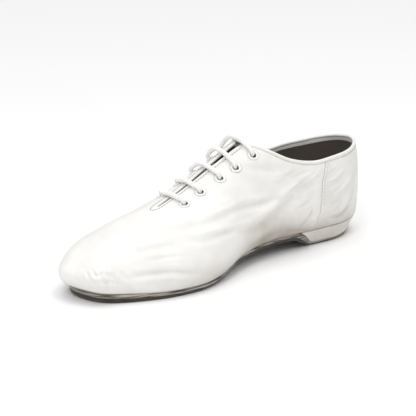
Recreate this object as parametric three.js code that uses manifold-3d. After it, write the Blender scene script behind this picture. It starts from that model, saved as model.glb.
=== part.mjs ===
// A soft leather jazz shoe for the left foot, standing empty on its sole.
// Millimetres. +X points to the toe, +Y to the outer side of the foot, +Z up.
// The origin is on the floor, under the middle of the heel.
import * as THREE from 'three';
import { mergeVertices } from 'three/addons/utils/BufferGeometryUtils.js';
import Module from 'manifold-3d';

const wasm = await Module();
wasm.setup();

// Driving sizes of the last
const length = 283;
const ballWidth = 97;
const instepHeight = 83.5; // ridge above the sole, at the back of the instep
const collarHeight = 62.7; // topline above the sole, at the heel
const heelLift = 10.8; // heel seat above the sole at the ball
const toeSpring = 6.6; // toe above the sole at the ball
const rollHeight = 24; // widest line above the sole, at the heel
const rollDepth = 10; // bottom edge inside the widest line, at the arch
const heelHead = 0.13 * length; // ridge line starts this far in from the heel
const heelFan = 0.26 * length; // stretch of outline whose rays lean to that start
const toeHead = 0.12 * length;
const toeFan = 0.24 * length;

// Leather and sole
const wall = 2.0;
const lastingMargin = 7.0; // width of the upper's turned edge on the sole
const insoleThickness = 2.0;
const midsoleThickness = 2.4;
const outsoleThickness = 3.0;
const treadWear = 0.2; // the ball is worn flat by this much
const heelMidsole = 1.0; // the two layers are thinner under the heel
const heelOutsole = 1.4;
const waistBevel = 1.4;
const heelTaper = 7.0; // the heel draws in by this much at the floor
const heelFoot = 64; // front of the heel on the floor, from the back of the last
const heelTop = 88; // where the heel meets the waist
const heelEdge = 1.0; // thinnest front edge of the heel
const soleToe = 6.0; // the sole stands back at the toe by this much
const toeCurve = 28; // and comes to it over this length
const outsoleSpring = 2.6; // the outsole curls up less than the shoe above it

// Lacing
const slitLength = 76; // from the front of the topline
const slitNarrow = 1.8;
const slitWide = 5.2;
const firstPair = 12.2; // first pair of eyelets behind the slit's lower end
const lastPair = 3.25; // last pair behind the front of the topline
const eyeletSpread = 17; // first outer eyelet from the slit's middle line, level
const eyeletBore = 4.8;
const eyeletTube = 0.35; // metal thickness
const flangeWidth = 1.8;
const laceDiameter = 3.6;
const pipingDiameter = 2.8;

// Clearances between pieces that meet
const gap = 0.3;
const laceGap = 0.5;

// Where the origin lies, from the back of the last
const heelCentre = 36;

// Half widths of the last at its widest line, as shares of the ball width,
// at shares of its length.
const outline = [
  { at: 0.00, outer: 0.000, inner: 0.000 },
  { at: 0.04, outer: 0.210, inner: 0.210 },
  { at: 0.12, outer: 0.325, inner: 0.310 },
  { at: 0.20, outer: 0.346, inner: 0.352 },
  { at: 0.30, outer: 0.340, inner: 0.335 },
  { at: 0.40, outer: 0.320, inner: 0.320 },
  { at: 0.50, outer: 0.335, inner: 0.360 },
  { at: 0.62, outer: 0.460, inner: 0.440 },
  { at: 0.70, outer: 0.502, inner: 0.480 },
  { at: 0.80, outer: 0.432, inner: 0.465 },
  { at: 0.90, outer: 0.287, inner: 0.400 },
  { at: 0.96, outer: 0.196, inner: 0.300 },
  { at: 1.00, outer: -0.098, inner: 0.098 },
];

// Sections of the last. lift and spring: sole height, shares of the heel lift and the
// toe spring. ridge: shares of the instep height. lean and slit: how far the ridge line
// and the slit's line lie to the outer side, shares of the ball width. roll and tuck:
// height of the widest line and depth of the bottom edge inside it, shares of their
// sizes. crown and side: roundness of the section on top and at the side. bevel: share
// of the waist's bevel.
const sections = [
  { at: 0.00, lift: 1.00, spring: 0.00, ridge: 1.000, lean: 0.000, slit: 0.000,
    roll: 0.98, tuck: 0.22, crown: 2.0, side: 3.60, bevel: 0.1 },
  { at: 0.12, lift: 0.97, spring: 0.00, ridge: 1.000, lean: 0.000, slit: 0.000,
    roll: 0.96, tuck: 0.32, crown: 2.0, side: 3.40, bevel: 0.1 },
  { at: 0.22, lift: 0.92, spring: 0.00, ridge: 1.000, lean: -0.004, slit: -0.004,
    roll: 0.88, tuck: 0.60, crown: 2.0, side: 2.80, bevel: 0.2 },
  { at: 0.32, lift: 0.84, spring: 0.00, ridge: 1.000, lean: -0.029, slit: -0.008,
    roll: 0.81, tuck: 0.92, crown: 1.9, side: 2.30, bevel: 1.0 },
  { at: 0.42, lift: 0.69, spring: 0.00, ridge: 0.965, lean: -0.072, slit: -0.025,
    roll: 0.69, tuck: 1.02, crown: 1.8, side: 2.00, bevel: 1.0 },
  { at: 0.52, lift: 0.39, spring: 0.00, ridge: 0.832, lean: -0.082, slit: -0.050,
    roll: 0.54, tuck: 0.75, crown: 1.8, side: 1.90, bevel: 1.2 },
  { at: 0.62, lift: 0.07, spring: 0.00, ridge: 0.700, lean: -0.068, slit: -0.058,
    roll: 0.50, tuck: 0.50, crown: 2.0, side: 1.95, bevel: 1.7 },
  { at: 0.72, lift: 0.00, spring: 0.00, ridge: 0.570, lean: -0.064, slit: -0.064,
    roll: 0.50, tuck: 0.42, crown: 2.2, side: 2.05, bevel: 1.3 },
  { at: 0.82, lift: 0.00, spring: 0.06, ridge: 0.481, lean: -0.085, slit: -0.085,
    roll: 0.46, tuck: 0.24, crown: 2.3, side: 2.10, bevel: 0.4 },
  { at: 0.92, lift: 0.00, spring: 0.36, ridge: 0.378, lean: -0.088, slit: -0.088,
    roll: 0.41, tuck: 0.18, crown: 2.4, side: 2.15, bevel: 0.2 },
  { at: 1.00, lift: 0.00, spring: 1.00, ridge: 0.216, lean: -0.089, slit: -0.089,
    roll: 0.31, tuck: 0.28, crown: 2.4, side: 2.15, bevel: 0.2 },
];

// Topline above the sole: shares of the collar height and of the instep height.
const topline = [
  { at: 0.00, back: 1.00, front: 0.000 },
  { at: 0.08, back: 0.94, front: 0.000 },
  { at: 0.17, back: 0.80, front: 0.085 },
  { at: 0.25, back: 0.55, front: 0.267 },
  { at: 0.33, back: 0.25, front: 0.564 },
  { at: 0.40, back: 0.05, front: 0.861 },
  { at: 0.46, back: 0.00, front: 0.986 },
];

// The five pairs of eyelets: their places as shares of the way from the first pair to the
// last. outer and inner: their distance from the slit, and ahead: how far the inner one lies
// nearer the toe than the outer one, all as shares of the first outer one's distance. near
// and far: how far each bar of the lace stands off the leather on the outer side of the slit
// and on the inner side, as shares of its diameter.
const lacing = [
  { at: 0.000, outer: 1.00, inner: 0.70, ahead: 0.00, near: 0.00, far: 0.0 },
  { at: 0.232, outer: 0.95, inner: 0.72, ahead: 0.00, near: 0.00, far: 0.3 },
  { at: 0.522, outer: 0.90, inner: 0.94, ahead: 0.14, near: 0.00, far: 0.6 },
  { at: 0.750, outer: 0.86, inner: 0.90, ahead: 0.08, near: 0.00, far: 1.1 },
  { at: 1.000, outer: 0.83, inner: 0.98, ahead: 0.27, near: 0.15, far: 0.6 },
];

// Numbers of rays and rows in the upper's mesh
const raysPerSide = 40;
const stripRows = 4;
const domeRows = 9;
const ringSides = 12;
const cordSides = 8;

// Smooth curve through one column of a table
function column(table, name, at, axis = (row) => row.at) {
  const last = table.length - 1;
  const x = Math.min(Math.max(at, axis(table[0])), axis(table[last]));
  let i = 0;
  while (i < last - 1 && x > axis(table[i + 1])) i += 1;
  const slope = (k) => {
    const a = Math.max(k - 1, 0);
    const b = Math.min(k + 1, last);
    return (table[b][name] - table[a][name]) / (axis(table[b]) - axis(table[a]));
  };
  const span = axis(table[i + 1]) - axis(table[i]);
  const u = (x - axis(table[i])) / span;
  return (2 * u ** 3 - 3 * u ** 2 + 1) * table[i][name] + (u ** 3 - 2 * u ** 2 + u) * span * slope(i)
    + (3 * u ** 2 - 2 * u ** 3) * table[i + 1][name] + (u ** 3 - u ** 2) * span * slope(i + 1);
}

const section = (name, x) => column(sections, name, x / length);
const turnOf = (share) => Math.acos(1 - 2 * share);
const shareOf = (turn) => (1 - Math.cos(turn)) / 2;
const smooth = (u) => u * u * (3 - 2 * u);

// Heights above the floor, all worked out from the distance along the last
const layers = midsoleThickness + outsoleThickness;
const soleTop = (x) => layers - treadWear + heelLift * section('lift', x)
  + toeSpring * section('spring', x);
const ridgeZ = (x) => soleTop(x) + instepHeight * section('ridge', x);
const ridgeY = (x) => ballWidth * section('lean', x);
const slitY = (x) => ballWidth * section('slit', x);
const rollZ = (x) => soleTop(x) + rollHeight * section('roll', x);
const toplineZ = (x) => soleTop(x) + collarHeight * column(topline, 'back', x / length)
  + instepHeight * column(topline, 'front', x / length);

// The widest line of the last. A turn of 0 is the back of the heel, pi the toe,
// and turns over pi come back along the inner side.
function widest(turn) {
  const outerSide = turn <= Math.PI;
  const half = outerSide ? turn : 2 * Math.PI - turn;
  const width = column(outline, outerSide ? 'outer' : 'inner', half, (row) => turnOf(row.at));
  return new THREE.Vector2(shareOf(half) * length, ballWidth * (outerSide ? width : -width));
}

function outward(turn) {
  const step = 1e-3;
  const wrap = (angle) => (angle + 2 * Math.PI) % (2 * Math.PI);
  const along = widest(wrap(turn + step)).sub(widest(wrap(turn - step)));
  return new THREE.Vector2(-along.y, along.x).normalize();
}

// Where the ray from a place on the outline meets the ridge line
function ridgeX(x) {
  if (x < heelFan) return x + heelHead * (1 - x / heelFan) ** 2;
  if (x > length - toeFan) return x - toeHead * (1 - (length - x) / toeFan) ** 2;
  return x;
}

// A point of the outline, drawn in from the widest line by a distance
function drawnIn(turn, distance) {
  return widest(turn).addScaledVector(outward(turn), -distance);
}

// The upper's lower part: level 0 is its bottom edge and level 1 the widest line
const rollAngle = THREE.MathUtils.degToRad(70);
function lowerPoint(turn, level) {
  const angle = (1 - level) * rollAngle;
  const depth = (1 - Math.cos(angle)) / (1 - Math.cos(rollAngle));
  const drop = Math.sin(angle) / Math.sin(rollAngle);
  const x = widest(turn).x;
  const plan = drawnIn(turn, rollDepth * section('tuck', x) * depth);
  const floorZ = soleTop(plan.x) + gap;
  return new THREE.Vector3(plan.x, plan.y, floorZ + (rollZ(plan.x) - floorZ) * (1 - drop));
}

// The upper's dome: angle 0 is the widest line and a quarter turn the ridge
function domePoint(turn, angle) {
  const edge = widest(turn);
  const top = ridgeX(edge.x);
  const across = Math.cos(angle) ** (2 / section('crown', edge.x));
  const up = Math.sin(angle) ** (2 / section('side', edge.x));
  const plan = edge.clone().lerp(new THREE.Vector2(top, ridgeY(top)), 1 - across);
  return new THREE.Vector3(plan.x, plan.y, rollZ(plan.x) + (ridgeZ(plan.x) - rollZ(plan.x)) * up);
}

function bisect(low, high, isPast) {
  for (let i = 0; i < 40; i += 1) {
    const middle = (low + high) / 2;
    if (isPast(middle)) high = middle;
    else low = middle;
  }
  return (low + high) / 2;
}

// The front of the topline, where it meets the ridge, and the angle at which a ray ends
const collarFront = bisect(0.3 * length, 0.6 * length, (x) => toplineZ(x) > ridgeZ(x));
const slitFront = collarFront + slitLength;
const rounding = 1e-4;
function endAngle(turn) {
  if (ridgeX(widest(turn).x) >= collarFront - rounding) return Math.PI / 2;
  return bisect(0, Math.PI / 2, (angle) => {
    const point = domePoint(turn, angle);
    return point.z > toplineZ(point.x);
  });
}

// Turns of the rays on one side: even steps, and closer ones at the front of the topline
function sideTurns(closer) {
  const turns = [];
  for (let i = 0; i <= raysPerSide; i += 1) turns.push((i * Math.PI) / raysPerSide);
  for (const x of closer) {
    const turn = turnOf(x / length);
    const near = turns.findIndex((other) => Math.abs(other - turn) < 0.25 * Math.PI / raysPerSide);
    if (near > 0 && near < raysPerSide) turns[near] = turn;
    else turns.push(turn);
  }
  return turns.sort((a, b) => a - b);
}

// A mesh under construction
class Skin {
  positions = [];
  faces = [];
  add(point) {
    this.positions.push(point.x, point.y, point.z);
    return this.positions.length / 3 - 1;
  }
  quad(a, b, c, d) {
    this.faces.push(a, b, c, a, c, d);
  }
  geometry() {
    const raw = new THREE.BufferGeometry();
    raw.setAttribute('position', new THREE.Float32BufferAttribute(this.positions, 3));
    raw.setIndex(this.faces);
    return welded(raw);
  }
}

// Merges shared points and leaves out faces that have shrunk to a line
function welded(geometry) {
  const bare = geometry.clone();
  bare.deleteAttribute('normal');
  bare.deleteAttribute('uv');
  const merged = mergeVertices(bare, 1e-3);
  const index = merged.getIndex().array;
  const kept = [];
  for (let i = 0; i < index.length; i += 3) {
    const [a, b, c] = [index[i], index[i + 1], index[i + 2]];
    if (a !== b && b !== c && c !== a) kept.push(a, b, c);
  }
  merged.setIndex(kept);
  return merged;
}

function toSolid(geometry) {
  const clean = welded(geometry);
  return new wasm.Manifold(new wasm.Mesh({
    numProp: 3,
    vertProperties: new Float32Array(clean.getAttribute('position').array),
    triVerts: new Uint32Array(clean.getIndex().array),
  }));
}

function toGeometry(solid) {
  const mesh = solid.getMesh();
  const geometry = new THREE.BufferGeometry();
  geometry.setAttribute('position', new THREE.Float32BufferAttribute(mesh.vertProperties, 3));
  geometry.setIndex(Array.from(mesh.triVerts));
  return geometry;
}

// Upper
// The rays of the whole upper, round from the heel along the outer side and back
function upperRays() {
  const half = sideTurns([0, 0.6, 1.6, 3.4, 6, 10].map((back) => collarFront - back));
  const inner = half.slice(1, -1).reverse().map((turn) => 2 * Math.PI - turn);
  return [...half, ...inner].map((turn) => ({ turn, end: endAngle(turn) }));
}

function rayPoints(ray) {
  const points = [];
  for (let i = 0; i < stripRows; i += 1) points.push(lowerPoint(ray.turn, i / stripRows));
  for (let i = 0; i <= domeRows; i += 1) points.push(domePoint(ray.turn, (ray.end * i) / domeRows));
  return points;
}

// Outward normals at every point of the outer face
function outerNormals(grid) {
  const skin = new Skin();
  const rows = grid[0].length;
  grid.forEach((points) => points.forEach((point) => skin.add(point)));
  grid.forEach((points, i) => {
    const next = (i + 1) % grid.length;
    for (let k = 0; k < rows - 1; k += 1) {
      skin.quad(i * rows + k, i * rows + k + 1, next * rows + k + 1, next * rows + k);
    }
  });
  const geometry = skin.geometry();
  geometry.computeVertexNormals();
  const lookup = new Map();
  const place = geometry.getAttribute('position');
  const normal = geometry.getAttribute('normal');
  const key = (x, y, z) => [x, y, z].map((value) => Math.round(value * 100)).join();
  for (let i = 0; i < place.count; i += 1) {
    lookup.set(key(place.getX(i), place.getY(i), place.getZ(i)),
      new THREE.Vector3(normal.getX(i), normal.getY(i), normal.getZ(i)));
  }
  return grid.map((points) => points.map((point) => lookup.get(key(
    Math.fround(point.x), Math.fround(point.y), Math.fround(point.z)))));
}

function upperShell(rays, grid, normals) {
  const skin = new Skin();
  const rows = grid[0].length;
  const outer = grid.map((points) => points.map((point) => skin.add(point)));
  const turned = (ray, rise) => {
    const plan = drawnIn(ray.turn, rollDepth * section('tuck', widest(ray.turn).x) + lastingMargin);
    return skin.add(new THREE.Vector3(plan.x, plan.y, soleTop(plan.x) + gap + rise));
  };
  const under = rays.map((ray) => turned(ray, 0));
  const inner = grid.map((points, i) => points.map((point, k) => (k === 0
    ? turned(rays[i], wall)
    : skin.add(point.clone().addScaledVector(normals[i][k], -wall)))));
  grid.forEach((points, i) => {
    const next = (i + 1) % grid.length;
    for (let k = 0; k < rows - 1; k += 1) {
      skin.quad(outer[i][k], outer[i][k + 1], outer[next][k + 1], outer[next][k]);
      skin.quad(inner[i][k], inner[next][k], inner[next][k + 1], inner[i][k + 1]);
    }
    skin.quad(outer[i][0], outer[next][0], under[next], under[i]);
    skin.quad(under[i], under[next], inner[next][0], inner[i][0]);
    const top = rows - 1;
    if (rays[i].end < Math.PI / 2 || rays[next].end < Math.PI / 2) {
      skin.quad(outer[i][top], inner[i][top], inner[next][top], outer[next][top]);
    }
  });
  return toSolid(skin.geometry());
}

// Half width of the slit, wider towards the topline
function slitHalf(x) {
  return THREE.MathUtils.lerp(slitNarrow, slitWide, (slitFront - x) / (slitFront - collarFront)) / 2;
}

function slitCutter() {
  const steps = 12;
  const back = collarFront - 2 * wall;
  const side = (sign) => Array.from({ length: steps + 1 }, (unused, i) => {
    const x = THREE.MathUtils.lerp(back, slitFront, i / steps);
    return new THREE.Vector2(x, slitY(x) + sign * slitHalf(x));
  });
  const tip = new THREE.Vector2(slitFront + slitNarrow / 2, slitY(slitFront));
  const shape = new THREE.Shape([...side(-1), tip, ...side(1).reverse()]);
  const low = rollZ(slitFront);
  const depth = ridgeZ(back) - low + wall;
  const cutter = new THREE.ExtrudeGeometry(shape, { depth, bevelEnabled: false });
  return toSolid(cutter.translate(0, 0, low));
}

// A point on the instep, level across from the slit, with its outward direction
function instepPoint(x, across) {
  const over = slitY(x) + across - ridgeY(x);
  const turn = over >= 0 ? turnOf(x / length) : 2 * Math.PI - turnOf(x / length);
  const share = Math.abs(over) / Math.abs(widest(turn).y - ridgeY(x));
  return domePoint(turn, Math.acos(share ** (section('crown', x) / 2)));
}

function instepFrame(x, across) {
  const step = 0.5;
  const point = instepPoint(x, across);
  const along = instepPoint(x + step, across).sub(instepPoint(x - step, across));
  const over = instepPoint(x, across + step).sub(instepPoint(x, across - step));
  return { point, normal: along.cross(over).normalize() };
}

function eyeletPlaces() {
  return lacing.map((row) => {
    const x = THREE.MathUtils.lerp(slitFront - firstPair, collarFront - lastPair, row.at);
    const over = (share) => instepFrame(x + eyeletSpread * row.ahead * share,
      eyeletSpread * THREE.MathUtils.lerp(row.outer, -row.inner, share));
    return { row, over, outer: over(0), inner: over(1) };
  });
}

function alongNormal(geometry, frame) {
  const turned = geometry.clone();
  const up = new THREE.Vector3(0, 0, 1);
  turned.applyQuaternion(new THREE.Quaternion().setFromUnitVectors(up, frame.normal));
  return turned.translate(frame.point.x, frame.point.y, frame.point.z);
}

function makeUpper(rays, grid, normals, places) {
  let upper = upperShell(rays, grid, normals).subtract(slitCutter());
  const radius = eyeletBore / 2 + eyeletTube + gap;
  const drill = new THREE.CylinderGeometry(radius, radius, 6 * wall, ringSides).rotateX(Math.PI / 2);
  for (const place of places) {
    upper = upper.subtract(toSolid(alongNormal(drill, place.outer)));
    upper = upper.subtract(toSolid(alongNormal(drill, place.inner)));
  }
  return toGeometry(upper);
}

// Sole
// How far the heel has turned into the waist: 0 on the heel, 1 in front of it
const waistShare = (x) => smooth(THREE.MathUtils.clamp((x - heelFoot) / (heelTop - heelFoot), 0, 1));
const lowToe = (x) => soleTop(x) - (toeSpring - outsoleSpring) * section('spring', x);
const outsoleBottom = (x) => Math.max(lowToe(x) - layers, 0) * waistShare(x);
const outsoleTop = (x) => outsoleBottom(x)
  + THREE.MathUtils.lerp(heelOutsole, outsoleThickness, waistShare(x))
  - (outsoleBottom(x) === 0 && x > heelTop ? layers - lowToe(x) : 0);
const midsoleTop = (x) => THREE.MathUtils.lerp(outsoleTop(x) + heelMidsole, soleTop(x), waistShare(x));

// The sole and the heel follow the upper's bottom edge. The heel draws in towards the floor,
// and the sole at the toe.
function soleInset(x, z) {
  const taper = heelTaper * (1 - waistShare(x)) * (1 - z / soleTop(x));
  const toe = soleToe * Math.max((x - length) / toeCurve + 1, 0) ** 2;
  return rollDepth * section('tuck', x) + taper + toe;
}

// Lofts sections across the shoe. levels run from the bottom to the top: height(x) is the
// height above the floor and inset(x, z) how far the edge is drawn in from the widest line.
function loft(turns, levels) {
  const skin = new Skin();
  const edge = (turn) => levels.map((level) => {
    const start = widest(turn).x;
    const plan = drawnIn(turn, level.inset(start, level.height(start)));
    return skin.add(new THREE.Vector3(plan.x, plan.y, level.height(plan.x)));
  });
  const rings = turns.map((turn) => [...edge(turn), ...edge(2 * Math.PI - turn).reverse()]);
  const count = rings[0].length;
  for (let i = 0; i < rings.length - 1; i += 1) {
    for (let k = 0; k < count; k += 1) {
      const after = (k + 1) % count;
      skin.quad(rings[i][k], rings[i][after], rings[i + 1][after], rings[i + 1][k]);
    }
  }
  for (let k = 0; k < levels.length - 1; k += 1) {
    const opposite = count - 1 - k;
    const start = rings[0];
    const end = rings[rings.length - 1];
    skin.quad(start[k], start[opposite], start[opposite - 1], start[k + 1]);
    skin.quad(end[k], end[k + 1], end[opposite - 1], end[opposite]);
  }
  return skin.geometry();
}

const heelSteps = [0, 0.15, 0.3, 0.45, 0.6, 0.75, 0.9, 1];
const soleTurns = sideTurns(heelSteps.map((share) => THREE.MathUtils.lerp(heelFoot, heelTop, share)));
function turnsUpTo(x) {
  const last = turnOf(x / length);
  return [...soleTurns.filter((turn) => turn < last - 0.01), last];
}

function makeOutsole() {
  const bevel = (x) => waistBevel * section('bevel', x);
  return loft(soleTurns, [
    { height: outsoleBottom, inset: (x, z) => soleInset(x, z) + bevel(x) },
    { height: (x) => outsoleTop(x) - gap, inset: (x, z) => soleInset(x, z) + gap },
  ]);
}

function makeMidsole() {
  return loft(soleTurns, [
    { height: outsoleTop, inset: soleInset },
    { height: midsoleTop, inset: soleInset },
  ]);
}

function makeHeel() {
  const bottom = (x) => midsoleTop(x) + gap;
  const front = bisect(heelFoot, heelTop, (x) => soleTop(x) - bottom(x) < heelEdge);
  return loft(turnsUpTo(front), [
    { height: bottom, inset: soleInset },
    { height: (x) => (bottom(x) + soleTop(x)) / 2, inset: (x, z) => soleInset(x, z) + gap },
    { height: soleTop, inset: soleInset },
  ]);
}

function makeInsole() {
  const inset = (x) => rollDepth * section('tuck', x) + lastingMargin + 2 * gap;
  return loft(soleTurns, [
    { height: (x) => soleTop(x) + gap, inset },
    { height: (x) => soleTop(x) + gap + insoleThickness, inset },
  ]);
}

// Piping on the topline
function cord(points, diameter, step) {
  const path = new THREE.CatmullRomCurve3(points, false, 'centripetal');
  const round = new THREE.Shape();
  round.absarc(0, 0, diameter / 2, 0, 2 * Math.PI);
  return new THREE.ExtrudeGeometry(round, {
    steps: Math.round(path.getLength() / step),
    curveSegments: cordSides / 2,
    extrudePath: path,
  });
}

// The piping follows the rim of the shell, and stops on both sides of the slit
function makePiping(rays, grid, normals) {
  const rim = rays.map((ray, i) => i).filter((i) => rays[i].turn <= Math.PI
    ? widest(rays[i].turn).x <= collarFront + rounding
    : widest(rays[i].turn).x < collarFront - rounding);
  const top = grid[0].length - 1;
  const clearance = pipingDiameter / 2 + gap;
  const seats = rim.map((i, k) => {
    const before = grid[rim.at(k - 1)][top];
    const after = grid[rim[(k + 1) % rim.length]][top];
    const normal = normals[i][top];
    const out = after.clone().sub(before).cross(normal).normalize();
    return grid[i][top].clone().addScaledVector(out, clearance).addScaledVector(normal, -wall / 2);
  }).reverse();
  const margin = slitWide / 2 + clearance;
  const over = (point) => (point.x > collarFront / 2 ? point.y - slitY(point.x) : margin);
  const clears = (point) => Math.abs(over(point)) >= margin;
  const start = seats.findIndex((point, k) => clears(point) && over(point) > 0 && !clears(seats.at(k - 1)));
  const route = [...seats.slice(start), ...seats.slice(0, start)].filter(clears);
  return cord(route, pipingDiameter, 2.2 * pipingDiameter);
}

// Eyelets and lace
function makeEyelet() {
  const bore = eyeletBore / 2;
  const profile = [
    [bore, -wall - gap], [bore + eyeletTube, -wall - gap], [bore + eyeletTube, gap],
    [bore + flangeWidth, gap], [bore + 0.7 * flangeWidth, gap + 2 * eyeletTube], [bore, gap + eyeletTube],
    [bore, -wall - gap],
  ];
  return new THREE.LatheGeometry(profile.map(([x, y]) => new THREE.Vector2(x, y)), ringSides)
    .rotateX(Math.PI / 2);
}

// One bar: out of the eyelet, over the slit and into the eyelet across from it
function makeBar(place) {
  const radius = laceDiameter / 2;
  const ends = (frame, sign) => {
    const level = new THREE.Vector3(0, -sign, 0);
    const uphill = level.addScaledVector(frame.normal, -level.dot(frame.normal)).normalize();
    const near = (over, height) => frame.point.clone()
      .addScaledVector(uphill, over * radius).addScaledVector(frame.normal, gap + height * radius);
    return [near(0, 0.15), near(0.35, 1.05), near(1.2, 1.95)];
  };
  const middle = [0.18, 0.34, 0.5, 0.66, 0.82].map((share) => {
    const { point, normal } = place.over(share);
    const near = place.row.near * Math.sin(Math.PI * (1 - (1 - share) ** 2));
    const far = place.row.far * Math.sin(Math.PI * share ** 2);
    return point.addScaledVector(normal, radius + laceGap + (near + far) * laceDiameter);
  });
  const points = [...ends(place.outer, 1), ...middle, ...ends(place.inner, -1).reverse()];
  return cord(points, laceDiameter, 0.75 * laceDiameter);
}

// Assembly
const shoe = new THREE.Group();
shoe.position.set(-heelCentre, 0, 0);

function addPiece(name, geometry, color, roughness, metalness = 0) {
  const piece = new THREE.Mesh(geometry, new THREE.MeshStandardMaterial({ color, roughness, metalness }));
  piece.name = name;
  shoe.add(piece);
  return piece;
}

const rays = upperRays();
const grid = rays.map(rayPoints);
const normals = outerNormals(grid);
const places = eyeletPlaces();

addPiece('upper', makeUpper(rays, grid, normals, places), 0xf2f0ea, 0.45);
addPiece('collar_piping', makePiping(rays, grid, normals), 0xf4f2ec, 0.4);
addPiece('insole', makeInsole(), 0xd9cfbb, 0.8);
addPiece('heel', makeHeel(), 0xeceae3, 0.45);
addPiece('midsole', makeMidsole(), 0xb9b5ac, 0.6);
addPiece('outsole', makeOutsole(), 0x6b6257, 0.9);
places.forEach((place, i) => {
  for (const side of ['outer', 'inner']) {
    const geometry = alongNormal(makeEyelet(), place[side]);
    addPiece(`eyelet_${side}_${i + 1}`, geometry, 0xf5f5f2, 0.3, 0.2);
  }
  addPiece(`lace_bar_${i + 1}`, makeBar(place), 0xf7f6f2, 0.7);
});

export default shoe;
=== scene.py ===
import math

import bmesh
import bpy
import numpy as np
from mathutils import Matrix, Vector, noise


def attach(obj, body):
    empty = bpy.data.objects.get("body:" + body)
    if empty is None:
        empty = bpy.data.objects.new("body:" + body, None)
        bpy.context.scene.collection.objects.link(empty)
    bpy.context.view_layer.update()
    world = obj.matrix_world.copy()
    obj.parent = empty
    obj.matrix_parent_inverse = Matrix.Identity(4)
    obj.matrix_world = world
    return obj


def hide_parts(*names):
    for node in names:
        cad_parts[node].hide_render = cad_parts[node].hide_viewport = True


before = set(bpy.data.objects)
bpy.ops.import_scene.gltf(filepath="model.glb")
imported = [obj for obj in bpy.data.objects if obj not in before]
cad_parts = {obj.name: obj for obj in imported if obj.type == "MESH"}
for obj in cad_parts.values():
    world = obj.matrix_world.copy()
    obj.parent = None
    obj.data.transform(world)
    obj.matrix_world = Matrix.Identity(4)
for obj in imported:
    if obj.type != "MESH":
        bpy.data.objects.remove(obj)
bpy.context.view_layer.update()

# A white soft-leather jazz shoe for the left foot, empty, standing on its sole.
# All shapes are worked out in millimetres from the back of the last and turned to metres
# in the part's frame as each piece is made.

# The last's own sizes in millimetres, the same as in the part's source, except for the slit's
# mouth, which is drawn 1 mm narrower. Lengths along the foot are counted from the back of the
# last, and the frame's origin lies under the heel.
last = {
    "length": 283, "ballWidth": 97, "instepHeight": 83.5, "collarHeight": 62.7, "heelLift": 10.8,
    "toeSpring": 6.6, "rollHeight": 24, "rollDepth": 10, "heelHead": 0.13, "heelFan": 0.26,
    "toeHead": 0.12, "toeFan": 0.24, "wall": 2.0, "lastingMargin": 7.0, "gap": 0.3, "heelCentre": 36,
}
sole = {
    "insole": 2.0, "midsole": 2.4, "outsole": 3.0, "treadWear": 0.2, "heelMidsole": 1.0,
    "heelOutsole": 1.4, "waistBevel": 1.4, "heelTaper": 7.0, "heelFoot": 64, "heelTop": 88,
    "heelEdge": 1.0, "soleToe": 6.0, "toeCurve": 28, "outsoleSpring": 2.6,
}
lacing = {
    "slitLength": 76, "slitNarrow": 1.8, "slitWide": 4.2, "firstPair": 12.2, "lastPair": 3.25,
    "eyeletSpread": 17, "eyeletBore": 4.8, "flange": 1.8, "laceDiameter": 3.6, "pipingDiameter": 2.8,
    "at": [0, .232, .522, .750, 1], "outer": [1, .95, .90, .86, .83],
    "inner": [.70, .72, .94, .90, .98], "ahead": [0, 0, .14, .08, .27], "rolledEdge": 0.7,
}
outline = {
    "at": [0, .04, .12, .20, .30, .40, .50, .62, .70, .80, .90, .96, 1],
    "outer": [0, .210, .325, .346, .340, .320, .335, .460, .502, .432, .287, .196, -.098],
    "inner": [0, .210, .310, .352, .335, .320, .360, .440, .480, .465, .400, .300, .098],
}
sections = {
    "at": [0, .12, .22, .32, .42, .52, .62, .72, .82, .92, 1],
    "lift": [1, .97, .92, .84, .69, .39, .07, 0, 0, 0, 0],
    "spring": [0, 0, 0, 0, 0, 0, 0, 0, .06, .36, 1],
    "ridge": [1, 1, 1, 1, .965, .832, .700, .570, .481, .378, .216],
    "lean": [0, 0, -.004, -.029, -.072, -.082, -.068, -.064, -.085, -.088, -.089],
    "slit": [0, 0, -.004, -.008, -.025, -.050, -.058, -.064, -.085, -.088, -.089],
    "roll": [.98, .96, .88, .81, .69, .54, .50, .50, .46, .41, .31],
    "tuck": [.22, .32, .60, .92, 1.02, .75, .50, .42, .24, .18, .28],
    "crown": [2, 2, 2, 1.9, 1.8, 1.8, 2.0, 2.2, 2.3, 2.4, 2.4],
    "side": [3.6, 3.4, 2.8, 2.3, 2.0, 1.9, 1.95, 2.05, 2.1, 2.15, 2.15],
    "bevel": [.1, .1, .2, 1, 1, 1.2, 1.7, 1.3, .4, .2, .2],
}
topline = {
    "at": [0, .08, .17, .25, .33, .40, .46],
    "back": [1, .94, .80, .55, .25, .05, 0],
    "front": [0, 0, .085, .267, .564, .861, .986],
}


def through(places, values, at):  # smooth curve through a short table
    places = np.asarray(places, float)
    values = np.asarray(values, float)
    slope = np.empty_like(values)
    slope[1:-1] = (values[2:] - values[:-2]) / (places[2:] - places[:-2])
    slope[0] = (values[1] - values[0]) / (places[1] - places[0])
    slope[-1] = (values[-1] - values[-2]) / (places[-1] - places[-2])
    at = np.clip(at, places[0], places[-1])
    i = np.clip(np.searchsorted(places, at, side="right") - 1, 0, len(places) - 2)
    span = places[i + 1] - places[i]
    u = (at - places[i]) / span
    return ((2 * u**3 - 3 * u**2 + 1) * values[i] + (u**3 - 2 * u**2 + u) * span * slope[i]
            + (3 * u**2 - 2 * u**3) * values[i + 1] + (u**3 - u**2) * span * slope[i + 1])


def section(name, x):
    return through(sections["at"], sections[name], x / last["length"])


def soleTop(x):
    layers = sole["midsole"] + sole["outsole"] - sole["treadWear"]
    return layers + last["heelLift"] * section("lift", x) + last["toeSpring"] * section("spring", x)


def ridgeZ(x):
    return soleTop(x) + last["instepHeight"] * section("ridge", x)


def ridgeY(x):
    return last["ballWidth"] * section("lean", x)


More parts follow.
